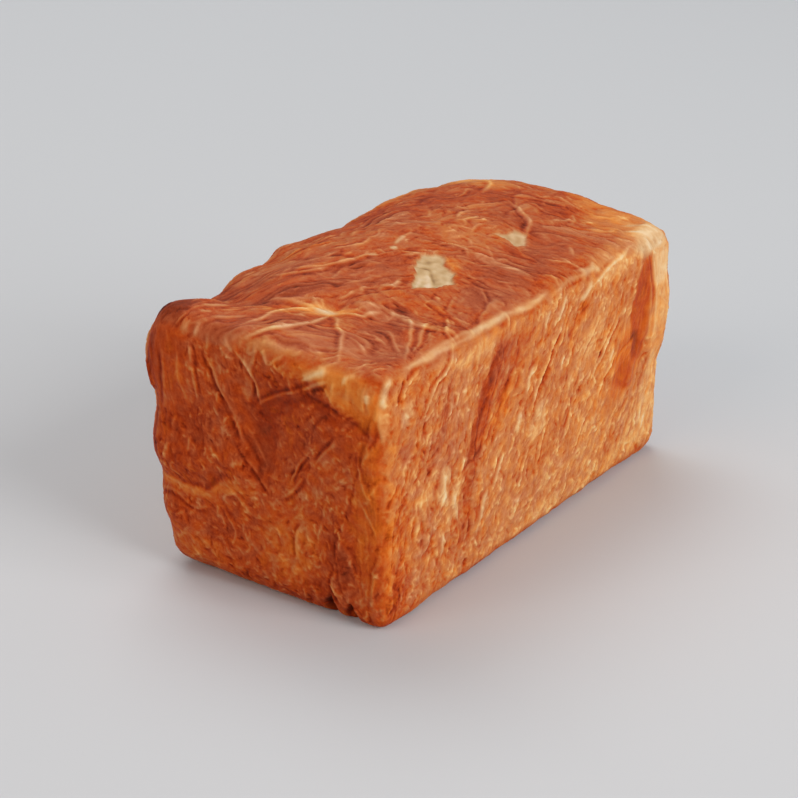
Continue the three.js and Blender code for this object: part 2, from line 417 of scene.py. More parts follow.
class FacePainter:
    """Works out the crust of one face at the points of a mesh that lie on it.

    Names in capitals are what the steps share or what sets their look. Those that end in MM are in mm.
    """

    MARGIN_MM = 3
    SWAY_MM = 7.0
    SWAY_REACH_MM = 1.1
    SWIRL_MM = 8.0
    SWIRL_TURN = 1.9
    FOLD_GUIDE_MM = 5.0
    GUIDE_BLUR = 0.05
    BROAD_CLOUD_MM = 34.0
    BROAD_CLOUD_TONE = 0.05
    BROAD_CLOUD_RISE_MM = 0.35
    CLOUD_MM = 13.0
    CLOUD_TONE = 0.045
    CLOUD_RISE_MM = 0.22
    CLOUD_TINT_MM = 24.0
    CLOUD_TINT = 0.22
    SHEET_MM = (9, 34)
    SHEET_SLENDER = (0.14, 0.3)
    SHEET_SWING = 9
    SHEET_TONE = 0.06
    SHEET_HUE = 0.25
    SHEET_RISE_MM = 0.16
    SHEET_RISE_CHANGE_MM = 0.06
    SHEET_EDGE_MM = 0.9
    SHEET_RIM_MM = 0.16
    SQUARENESS = 2.4
    RIM_MM = 0.8
    RIM_GAP_MM = 1.3
    RIM_TONE = 0.55
    SMEAR_STEPS = 7
    SWING_MM = 6.0
    CURLY_FLAKES = Streaks(1.45, 1.6, 1.9, Pattern.CURLY)
    STRAIGHT_STREAKS = Streaks(1.35, 4.5, 0.5, Pattern.STRAIGHT)
    BROAD_STREAKS = Streaks(3.0, 4.5, 0.9, Pattern.BROAD_STREAKS)
    PITS = Streaks(1.5, 1.2, 1.0, Pattern.PITS)
    CALM_HOLDS = 0.82
    FLAKE_EDGE = 0.36
    FLAKE_RISE_MM = 0.06
    BROAD_RISE_MM = 0.12
    CREST_RISE_MM = 0.16
    FLAKE_TONE = 0.02
    BROAD_TONE = 0.045
    CREST_TONE = 0.13
    PIT_DEPTH_MM = 0.3
    PIT_TONE = 0.14
    STREAK_RISE_MM = 0.03
    STREAK_TONE = 0.02
    MIXTURE_MM = 17.0
    BLOTCH_MM = 3.1
    BLOTCH_TONE = 0.15
    TINT_MM = 4.2
    FOLD_EDGE_MM = 4
    FOLD_SWING = 0.25
    FOLD_BOW_MM = 2.5
    FOLD_HALF_MM = (6, 22)
    FOLD_LIP_MM = 0.4
    CURVE_STEPS = 5
    STROKE_SWAY = 0.45
    TAPER = (-0.02, 0.22)
    LIP_TONE = 0.52
    DASH_HELD = 0.9
    SUNKEN_SHARE = 0.35
    RAGGED_MM = 3.4
    RAGGED_REACH_MM = 0.9
    TORN_RIM_MM = 0.35
    RAW_SHADE_MM = 3.0
    RAW_CALM = 0.6

    def __init__(self, design: FaceDesign, u: Grid, v: Grid) -> None:
        """Starts with an even crust.

        Args:
            design: what the face shows.
            u: the points' places along the face in mm.
            v: their places across it in mm.
        """
        self.design = design
        self.order = np.argsort(u, kind="stable")
        self.u = u[self.order]
        self.v = v[self.order]
        self.random = np.random.default_rng(design.seed)
        self.layer = CrustLayer.bare(len(u), design.brown, design.hue)
        self.wobbly_u = self.u + self.SWAY_REACH_MM * self.waves_of(self.SWAY_MM, Pattern.SWAY_U)
        self.wobbly_v = self.v + self.SWAY_REACH_MM * self.waves_of(self.SWAY_MM, Pattern.SWAY_V)
        self.guides = self.all_guides()
        self.angle = self.grain_at(self.u, self.v)

    def waves_of(self, size: float, pattern: Pattern) -> Grid:
        """One of the face's random patterns, with waves of a size in mm."""
        return waves(self.u / size, self.v / size, self.design.seed + pattern)

    def all_guides(self) -> list[Guide]:
        """The face's guides and one for each stroke, as the grain runs along the folds."""
        made = list(self.design.guides)
        for stroke in self.design.strokes:
            (u0, v0), (u1, v1) = stroke.points[0], stroke.points[-1]
            angle = math.degrees(math.atan2(v0 - v1, u1 - u0))
            made.append(Guide(((u0 + u1) / 2, (v0 + v1) / 2), angle, self.FOLD_GUIDE_MM))
        return made

    def grain_at(self, u: Grid, v: Grid) -> Grid:
        """The way the grain runs.

        Args:
            u: places along the face in mm.
            v: places across it in mm.

        Returns:
            The angle at each place in radians, from +u towards the top of the face.
        """
        east, north, curl, total = np.zeros((4, len(u)))
        for guide in self.guides:
            apart = ((u - guide.at[0]) ** 2 + (v - guide.at[1]) ** 2) / guide.reach**2
            weight = 1.0 / (self.GUIDE_BLUR + apart) ** 2
            east += weight * math.cos(2 * math.radians(guide.angle))
            north += weight * math.sin(2 * math.radians(guide.angle))
            curl += weight * guide.curl
            total += weight
        swirl = waves(u / self.SWIRL_MM, v / self.SWIRL_MM, self.design.seed + Pattern.SWIRL)
        return 0.5 * np.arctan2(north, east) + self.SWIRL_TURN * swirl * curl / total

    def grain_near(self, at: Grid) -> float:
        """The way the grain runs at one place, in radians."""
        return self.grain_at(at[:1], at[1:])[0]

    def paint(self) -> CrustLayer:
        """Lays everything on the face in the order that dough, oven and tin did.

        Returns:
            The finished crust at each point.
        """
        self.lay_clouds()
        self.scatter_sheets()
        for patch in self.design.patches:
            self.lay_patch(patch)
        self.lay_grain()
        for stroke in (*self.loose_folds(), *self.design.strokes):
            self.draw_stroke(stroke)
        self.scatter_dashes()
        for tear in self.design.tears:
            self.open_tear(tear)
            for mark in tear.marks:
                self.draw_stroke(mark)
        return self.layer.reordered(self.order)

    def lay_clouds(self) -> None:
        """Browning that is uneven over a few centimetres, as oven heat leaves it."""
        broad = self.waves_of(self.BROAD_CLOUD_MM, Pattern.BROAD_CLOUDS)
        middling = self.waves_of(self.CLOUD_MM, Pattern.CLOUDS)
        self.layer.brown += self.BROAD_CLOUD_TONE * broad + self.CLOUD_TONE * middling
        self.layer.rise += self.BROAD_CLOUD_RISE_MM * broad + self.CLOUD_RISE_MM * middling
        self.layer.hue += self.CLOUD_TINT * self.waves_of(self.CLOUD_TINT_MM, Pattern.CLOUD_TINT)

    def near(self, middle: Sequence[float], reach: float) -> Grid:
        """Picks the points no further than a reach from a place, along either axis."""
        first, last = np.searchsorted(self.u, (middle[0] - reach, middle[0] + reach))
        return first + np.flatnonzero(abs(self.v[first:last] - middle[1]) < reach)

    def scatter_sheets(self) -> None:
        """Lays overlapping long scales of rolled dough along the grain, each a little apart in tone."""
        for _ in range(self.design.sheets):
            at = self.random.uniform((0, 0), self.design.side.size)
            length = self.random.uniform(*self.SHEET_MM)
            size = (length, length * self.random.uniform(*self.SHEET_SLENDER))
            swing = self.random.normal(0, self.SHEET_SWING)
            tone, lift, hue = self.random.normal(0, 1, 3)
            turn = math.degrees(self.grain_near(at)) + swing
            sheet = Patch(
                tuple(at),
                size,
                turn,
                tone=self.SHEET_TONE * tone,
                rise=self.SHEET_RISE_MM + self.SHEET_RISE_CHANGE_MM * lift,
                soft=self.SHEET_EDGE_MM,
                hue=self.SHEET_HUE * hue,
                rim=self.SHEET_RIM_MM,
            )
            self.lay_patch(sheet)

    def lay_patch(self, patch: Patch) -> None:
        """Lays one area.

        Args:
            patch: its place, size and finish.
        """
        turn = math.radians(patch.turn)
        half_long, half_broad = patch.size[0] / 2, patch.size[1] / 2
        found = self.near(patch.at, math.hypot(half_long, half_broad) + patch.soft + self.MARGIN_MM)
        off_u = self.wobbly_u[found] - patch.at[0]
        off_v = self.wobbly_v[found] - patch.at[1]
        long_way = off_u * math.cos(turn) - off_v * math.sin(turn)
        broad_way = off_u * math.sin(turn) + off_v * math.cos(turn)
        off_long = (abs(long_way) / half_long) ** self.SQUARENESS
        off_broad = (abs(broad_way) / half_broad) ** self.SQUARENESS
        inside = (1.0 - np.sqrt(off_long + off_broad)) * half_broad
        cover = ramp_up(-patch.soft / 2, patch.soft / 2, inside)
        layer = self.layer
        layer.brown[found] += patch.tone * cover
        layer.hue[found] += patch.hue * cover
        layer.rise[found] += patch.rise * cover
        layer.cover(found, cover, patch.raw, patch.calm)
        # A sheet's rim: its edge is raised and paler, and the sunken gap below it is darkened as a painted
        # shadow.
        if patch.rim:
            behind = broad_way > 0
            edge = np.exp(-((inside / self.RIM_MM) ** 2)) * np.where(behind, 0.35, 1.0)
            gap = np.exp(-(((inside + self.RIM_GAP_MM) / self.RIM_MM) ** 2)) * np.where(behind, 0.3, 1.0)
            layer.rise[found] += patch.rim * (edge - gap)
            layer.brown[found] += self.RIM_TONE * patch.rim * (1.1 * gap - edge)
        if patch.grain is not None:
            turned = math.radians(patch.grain)
            east = (1 - cover) * np.cos(2 * self.angle[found]) + cover * math.cos(2 * turned)
            north = (1 - cover) * np.sin(2 * self.angle[found]) + cover * math.sin(2 * turned)
            self.angle[found] = 0.5 * np.arctan2(north, east)

    def smeared(self, streaks: Streaks, scale: float = 1.0) -> Grid:
        """Draws random waves out along the grain.

        Args:
            streaks: their size and way.
            scale: how much larger they are here.

        Returns:
            A height at each point, about 0 and spread by about 1.
        """
        seed = self.design.seed + streaks.pattern
        width = streaks.width * scale
        stride = streaks.reach * scale / self.SMEAR_STEPS
        total = waves(self.u / width, self.v / width, seed)
        for way in (1.0, -1.0):
            u = self.u.copy()
            v = self.v.copy()
            for _ in range(self.SMEAR_STEPS):
                swing = self.angle + streaks.curl * waves(u / self.SWING_MM, v / self.SWING_MM, seed + 1)
                u += way * stride * np.cos(swing)
                v -= way * stride * np.sin(swing)
                total += waves(u / width, v / width, seed)
        return total / (np.std(total) + 1e-9)

    def lay_grain(self) -> None:
        """Fine relief and browning along the grain: straight streaks and curly flakes."""
        layer = self.layer
        scale = self.design.scale
        curliness = self.design.curly
        active = (1.0 - self.CALM_HOLDS * np.clip(layer.calm, 0, 1)) * self.design.wormy
        curly = self.smeared(self.CURLY_FLAKES, scale)
        straight = self.smeared(self.STRAIGHT_STREAKS, scale)
        broad = self.smeared(self.BROAD_STREAKS, scale)
        mixed = ramp_up(-0.35, 0.35, self.waves_of(self.MIXTURE_MM, Pattern.MIXTURE) + curliness)
        flaky = mixed * curly + (1 - mixed) * straight
        crest = np.exp(-((flaky / self.FLAKE_EDGE) ** 2)) - 0.32
        rise = self.FLAKE_RISE_MM * flaky + self.BROAD_RISE_MM * broad + self.CREST_RISE_MM * crest
        paler = self.FLAKE_TONE * flaky + self.BROAD_TONE * broad + self.CREST_TONE * crest
        layer.rise += active * rise
        layer.brown -= active * paler
        # Pits: sunk, and darkened as painted shade in them.
        pits = self.design.pitted * ramp_up(1.0, 1.9, self.smeared(self.PITS))
        layer.rise -= self.PIT_DEPTH_MM * active * pits
        layer.brown += self.PIT_TONE * active * pits
        layer.rise += self.STREAK_RISE_MM * straight
        layer.brown -= (1 - active) * self.STREAK_TONE * straight
        blotches = self.wobbly_waves(self.BLOTCH_MM, Pattern.BLOTCHES)
        layer.brown += self.BLOTCH_TONE * active * curliness * blotches
        layer.hue += (0.4 + 0.5 * curliness) * self.wobbly_waves(self.TINT_MM, Pattern.TINT)

    def wobbly_waves(self, size: float, pattern: Pattern) -> Grid:
        """One of the face's random patterns with its waves swayed, of a size in mm."""
        return waves(self.wobbly_u / size, self.wobbly_v / size, self.design.seed + pattern)

    def loose_folds(self) -> list[Stroke]:
        """Long folds laid along the grain by a seeded rule, for a face whose folds aren't known."""
        edge = self.FOLD_EDGE_MM
        wide, high = self.design.side.size
        made = []
        for _ in range(self.design.folds):
            at = self.random.uniform((edge, edge), (wide - edge, high - edge))
            angle = self.grain_near(at) + self.random.normal(0, self.FOLD_SWING)
            half = self.random.uniform(*self.FOLD_HALF_MM)
            points = bowed_line(at, angle, half, self.random.normal(0, self.FOLD_BOW_MM))
            width = self.random.uniform(1.2, 2.0)
            rise = self.random.uniform(0.3, 0.7)
            tone = self.random.uniform(-0.3, -0.12)
            lip = self.random.choice([-self.FOLD_LIP_MM, self.FOLD_LIP_MM])
            made.append(Stroke(points, width, rise, tone, lip))
        return made

    def draw_stroke(self, stroke: Stroke, held: float = 0.0) -> None:
        """Draws one ridge or groove.

        Args:
            stroke: its line and its section.
            held: how far smooth crust keeps it down, from 0 to 1.
        """
        line = curve_through(stroke.points, self.CURVE_STEPS)
        middle = (line.max(0) + line.min(0)) / 2
        reach = (line.max(0) - line.min(0)).max() / 2 + 3 * stroke.width + self.MARGIN_MM
        found = self.near(middle, reach)
        u = self.u[found] + self.STROKE_SWAY * (self.wobbly_u[found] - self.u[found])
        v = self.v[found] + self.STROKE_SWAY * (self.wobbly_v[found] - self.v[found])
        best = np.full(len(found), np.inf)
        signed, share = np.zeros((2, len(found)))
        for k in range(len(line) - 1):
            step = line[k + 1] - line[k]
            part, gap_u, gap_v = gaps_to_piece(u, v, line[k], step)
            apart = np.hypot(gap_u, gap_v)
            closer = apart < best
            best = np.where(closer, apart, best)
            signed = np.where(closer, np.sign(step[0] * gap_v - step[1] * gap_u) * apart, signed)
            share = np.where(closer, (k + part) / (len(line) - 1), share)
        taper = ramp_up(*self.TAPER, share) * ramp_up(*self.TAPER, 1 - share)
        half = 0.4 * stroke.width * (0.45 + 0.55 * taper)
        ridge = np.exp(-((signed / half) ** 2)) * (0.25 + 0.75 * taper)
        layer = self.layer
        relief = self.design.relief
        ridge *= 1 - held * np.clip(layer.calm[found], 0, 1)
        layer.rise[found] += relief * stroke.rise * ridge
        layer.brown[found] += stroke.tone * ridge
        layer.cover(found, ridge, raw=stroke.raw)
        # The lip: a sunken gap beside the ridge, darkened as a painted shadow.
        if stroke.lip:
            beside = (signed - math.copysign(0.95, stroke.lip) * stroke.width) / (0.5 * stroke.width)
            gap = np.exp(-(beside**2)) * taper
            layer.rise[found] -= relief * abs(stroke.lip) * gap
            layer.brown[found] += self.LIP_TONE * relief * math.sqrt(abs(stroke.lip)) * gap

    def scatter_dashes(self) -> None:
        """Short flakes, lifted and paler or sunken and darker, along the grain."""
        design = self.design
        breadth = math.sqrt(design.scale)
        for _ in range(design.dashes):
            at = self.random.uniform((0, 0), design.side.size)
            length = self.random.uniform(*design.dash_mm)
            angle = self.grain_near(at) + self.random.normal(0, 0.35 + 0.8 * design.curly)
            bow = self.random.normal(0, 0.14 + 0.25 * design.curly) * length
            strength = self.random.uniform(0.4, 1.0)
            points = bowed_line(at, angle, 0.5 * length, bow)
            # Sunken dashes are darkened as painted shade in them; lifted ones are paler flakes.
            if self.random.random() < self.SUNKEN_SHARE:
                dash = Stroke(points, 1.2 * breadth, -0.4 * strength, 0.17 * strength)
            else:
                dash = Stroke(points, 1.3 * breadth, 0.4 * strength, -0.26 * breadth * strength)
            self.draw_stroke(dash, self.DASH_HELD)

    def open_tear(self, tear: Tear) -> None:
        """Opens one split in the crust.

        Args:
            tear: its outline, depth and paleness.
        """
        corners = np.array(tear.outline, float)
        middle = corners.mean(0)
        found = self.near(middle, abs(corners - middle).max() + self.MARGIN_MM + 1)
        u = (self.u + self.RAGGED_REACH_MM * self.waves_of(self.RAGGED_MM, Pattern.RAGGED_U))[found]
        v = (self.v + self.RAGGED_REACH_MM * self.waves_of(self.RAGGED_MM, Pattern.RAGGED_V))[found]
        apart = np.full(len(found), np.inf)
        within = np.zeros(len(found), bool)
        for start, end in zip(corners, np.roll(corners, -1, axis=0), strict=True):
            step = end - start
            _, gap_u, gap_v = gaps_to_piece(u, v, start, step)
            apart = np.minimum(apart, np.hypot(gap_u, gap_v))
            crosses = (start[1] > v) != (end[1] > v)
            level = np.where(crosses, (v - start[1]) / (step[1] if step[1] else 1e-9), 0.0)
            within ^= crosses & (u < start[0] + level * step[0])
        inside = np.where(within, apart, -apart)
        floor = ramp_up(-0.5, 0.6, inside)
        rim = np.exp(-(((inside + 0.9) / 0.8) ** 2))
        layer = self.layer
        layer.rise[found] += self.TORN_RIM_MM * rim - tear.depth * floor - 0.7 * floor * layer.rise[found]
        shade = 0.45 + 0.25 * self.waves_of(self.RAW_SHADE_MM, Pattern.RAW_SHADE)[found]
        layer.brown[found] += floor * (shade - layer.brown[found])
        layer.brown[found] -= 0.08 * rim
        layer.cover(found, floor, tear.raw, self.RAW_CALM)


NEAR_END = FaceDesign(
    side=Side.NEAR_END,
    seed=101,
    brown=0.71,
    hue=-0.2,
    wormy=0.52,
    curly=0.5,
    pitted=0.35,
    scale=0.72,
    dash_mm=(1.4, 4.5),
    sheets=6,
    dashes=1150,
    guides=(
        Guide((8, 40), 88, curl=0.4),
        Guide((25, 12), -82, curl=0.1),
        Guide((25, 40), -70, curl=0.9),
        Guide((42, 25), -68, curl=0.2),
        Guide((60, 20), 35, curl=0.3),
        Guide((60, 38), 70, curl=0.6),
        Guide((85, 35), 40, curl=0.5),
        Guide((98, 50), 88, curl=0.1),
        Guide((20, 75), -30, curl=0.9),
        Guide((45, 72), -10, curl=0.9),
        Guide((68, 78), 55, curl=0.9),
        Guide((88, 75), 75, curl=0.7),
        Guide((15, 92), -15, curl=0.7),
        Guide((84, 8), 20),
    ),
    patches=(
        Patch((50, 24), (26, 22), 60, tone=0.02, rise=-0.5, soft=8, calm=0.4),
        Patch((62, 40), (34, 30), 75, tone=0.02, rise=-0.7, soft=9, calm=0.2, hue=0.1),
        # Sunken and darker: painted shade in the hollow.
        Patch((62, 18), (24, 8), 25, tone=0.05, rise=-0.6, soft=5, calm=0.6),
        Patch((93, 9), (32, 14), -24, tone=-0.13, rise=0.4, soft=5, calm=0.65, hue=0.9, grain=80),
        Patch((77, 4), (26, 7), 6, tone=-0.10, rise=0.3, soft=5, calm=0.5, hue=0.8),
        # Sunken crease under the fold, darker: painted shade in it.
        Patch((79, 16), (26, 6), -24, tone=0.08, rise=-0.3, calm=0.5, hue=0.1),
        Patch((97, 48), (80, 10), 88, tone=-0.01, rise=0.2, soft=6, calm=0.6, hue=0.5, grain=89),
        Patch((102, 36), (56, 5), 89, soft=3, calm=0.7, hue=0.5, grain=89),
        Patch((13, 16), (34, 20), -80, tone=0.01, rise=0.2, soft=7, calm=0.75, grain=-82),
        Patch((3, 30), (56, 7), 88, tone=0.12, calm=0.3),
        Patch((32, 0), (16, 6), tone=-0.03, calm=0.5, hue=-1.0),
        Patch((97, 18), (18, 6), -28, tone=0.07, hue=0.3),
        Patch((-2, 23), (16, 14), 90, rise=1.0, soft=1.6),
        # Dark wall of the hollow: painted shade.
        Patch((53, 37), (28, 10), 80, tone=0.07, rise=-0.6, soft=5, calm=0.8, hue=-0.3),
        Patch((19, 43), (28, 18), 80, tone=0.08, soft=8, calm=0.2),
        Patch((15, 62), (32, 4), -2, tone=-0.10, rise=0.2, soft=2.5, calm=0.4, hue=0.6),
        Patch((37, 57), (14, 4), 30, tone=-0.09, rise=0.2, soft=3, calm=0.4, hue=0.6),
        Patch((65, 74), (28, 22), 20, tone=-0.09, rise=0.2, soft=10, hue=0.45),
        Patch((22, 84), (36, 12), -8, tone=-0.06, soft=8, hue=0.3),
        Patch((34, 74), (18, 12), tone=0.05, soft=6),
        Patch((84, 72), (12, 28), 85, tone=0.06, soft=7),
        Patch((67, 94), (12, 5), tone=0.12),
        # Darker strip along the foot: browned bottom edge with a painted contact shadow.
        Patch((53, 99), (124, 11), tone=0.3, soft=3),
        Patch((84, 26), (16, 16), 45, tone=0.03, soft=6, calm=0.4),
    ),
    strokes=(
        Stroke(((20, -3), (21, 1)), 2.2, 0.4, -0.38, raw=0.15),
        Stroke(((25, -3), (25, 2)), 2.2, 0.4, -0.38, raw=0.15),
        Stroke(((30, 0), (31, 6)), 1.8, 0.4, -0.25),
        Stroke(((38, 0), (42, 5)), 1.9, 0.5, -0.36, raw=0.1),
        Stroke(((43, 4), (49, 9), (52, 15), (53, 22)), 1.5, 0.6, -0.32, lip=0.3),
        Stroke(((29, 4), (33, 12), (38, 21), (43, 31), (45, 37)), 1.6, 0.6, -0.2, lip=0.4),
        Stroke(((23, 5), (25, 14), (26, 26)), 1.6, 0.5, -0.2, lip=-0.3),
        Stroke(((18, 7), (19, 20), (22, 30)), 1.5, 0.35, -0.14),
        Stroke(((12, 8), (12, 22), (10, 34)), 1.6, 0.35, -0.12, lip=0.25),
        Stroke(((50, 24), (56, 19), (64, 15), (72, 12), (78, 9)), 1.4, 0.5, -0.16, lip=-0.2),
        Stroke(((54, 1), (58, 6)), 1.8, 0.5, -0.34),
        Stroke(((64, 1), (58, 6)), 1.7, 0.5, -0.3),
        # A darker crease: painted shade in it.
        Stroke(((84, 17), (78, 23), (74, 33)), 1.6, -0.6, 0.14),
        Stroke(((87, 26), (81, 33), (77, 38)), 1.3, 0.55, -0.22, lip=0.3),
        Stroke(((75, 33), (69, 40), (65, 49)), 1.3, 0.5, -0.2, lip=-0.4),
        Stroke(((42, 37), (50, 48), (57, 56)), 1.3, 0.3, -0.09, lip=0.3),
        Stroke(((60, 56), (66, 51), (72, 44)), 1.4, 0.45, -0.16, lip=0.3),
        Stroke(((46, 30), (50, 38), (54, 45)), 1.3, 0.4, -0.12),
        Stroke(((84, 49), (80, 53), (79, 58)), 1.2, 0.4, -0.18),
        Stroke(((66, 46), (68, 43)), 1.4, 0.3, -0.16, lip=-0.6),
        Stroke(((0, 60), (8, 60), (20, 62), (30, 60), (36, 55), (43, 53)), 2.2, 0.4, -0.1, lip=-0.1),
        Stroke(((36, 55), (42, 60), (48, 65), (54, 66)), 1.4, 0.4, -0.14),
        Stroke(((2, 66), (12, 65), (22, 68), (30, 66)), 1.5, 0.4, -0.12, lip=0.3),
        # A darker groove: painted shade in it.
        Stroke(((94, 28), (94, 42), (93, 56)), 1.4, -0.4, 0.09),
        Stroke(((94, 32), (96, 40), (98, 46)), 1.3, 0.4, -0.2),
        Stroke(((95, 48), (98, 54), (101, 60)), 1.3, 0.4, -0.18),
        # A darker groove: painted shade in it.
        Stroke(((100, 15), (102, 21), (103, 30), (103, 44)), 1.8, -0.3, 0.06),
        Stroke(((103, 12), (103, 18), (104, 25)), 2.2, 0.7, -0.34, lip=-0.1, raw=0.1),
        Stroke(((104, 28), (104, 44), (104, 60)), 1.3, 0.3, -0.2),
        # A darker groove: painted shade in it.
        Stroke(((62, 20), (68, 17), (76, 15)), 2.0, -0.3, 0.07),
        Stroke(((73, 8), (77, 5), (83, 3)), 3.6, 0.6, -0.4, lip=0.4, raw=0.35),
        Stroke(((75, 10), (79, 8), (83, 6)), 2.2, 0.5, -0.36, lip=0.3, raw=0.2),
        Stroke(((89, 6), (91, 3), (94, 2)), 2.4, 0.4, -0.3, raw=0.2),
        Stroke(((99, 7), (99, 11)), 2.6, 0.3, -0.34, raw=0.3),
        Stroke(((104, 5), (104, 10), (105, 12)), 2.6, 0.4, -0.36, raw=0.4),
        Stroke(((66, 8), (68, 14)), 2.0, 0.4, -0.2),
        Stroke(((92, 5), (91, 14)), 2.0, 0.3, -0.14),
        Stroke(((86, 5), (85, 13)), 1.8, 0.4, -0.14),
        # Dark crease under the fold: painted shade in it.
        Stroke(((67, 9), (75, 13), (84, 15), (91, 18), (98, 22), (102, 28)), 2.2, -0.4, 0.1),
        Stroke(((98, 4), (97, 15)), 1.5, 0.4, -0.14),
        Stroke(((82, 8), (87, 15)), 1.5, 0.4, -0.16),
        # Notches at the foot, darker: painted shade inside them.
        Stroke(((80, 88), (80, 108)), 4.6, -8.0, 0.5),
        Stroke(((89, 89), (89, 108)), 4.4, -8.0, 0.5),
        Stroke(((71, 89), (71, 106)), 2.4, -2.2, 0.25),
        Stroke(((97, 90), (97, 106)), 2.6, -1.8, 0.2),
        Stroke(((44, 88), (44, 106)), 2.2, -1.8, 0.2),
        Stroke(((56, 89), (57, 106)), 2.6, -1.5, 0.2),
        Stroke(((28, 89), (28, 106)), 2.4, -1.6, 0.2),
        # Notches in the left edge, a little darker: painted shade in them.
        Stroke(((-3, 30), (4, 31)), 3.2, -2.4, 0.1),
        Stroke(((-3, 61), (5, 60)), 3.0, -1.8, 0.05, lip=0.3),
        Stroke(((-3, 79), (3, 79)), 3.4, -2.2, 0.05),
        # A darker hole: painted shade in it.
        Stroke(((45, 46), (45, 48)), 2.2, -0.9, 0.25),
        Stroke(((36, 68), (40, 74), (38, 80)), 1.3, 0.4, -0.2),
        Stroke(((70, 62), (67, 70), (68, 78)), 1.4, 0.4, -0.22, lip=0.3),
        Stroke(((78, 60), (76, 68)), 1.2, 0.4, -0.22),
        Stroke(((84, 78), (82, 84), (86, 90)), 1.3, 0.4, -0.2, lip=0.3),
        Stroke(((12, 44), (10, 52)), 1.2, 0.4, -0.22),
        Stroke(((22, 40), (20, 48)), 1.2, 0.4, -0.2),
    ),
)

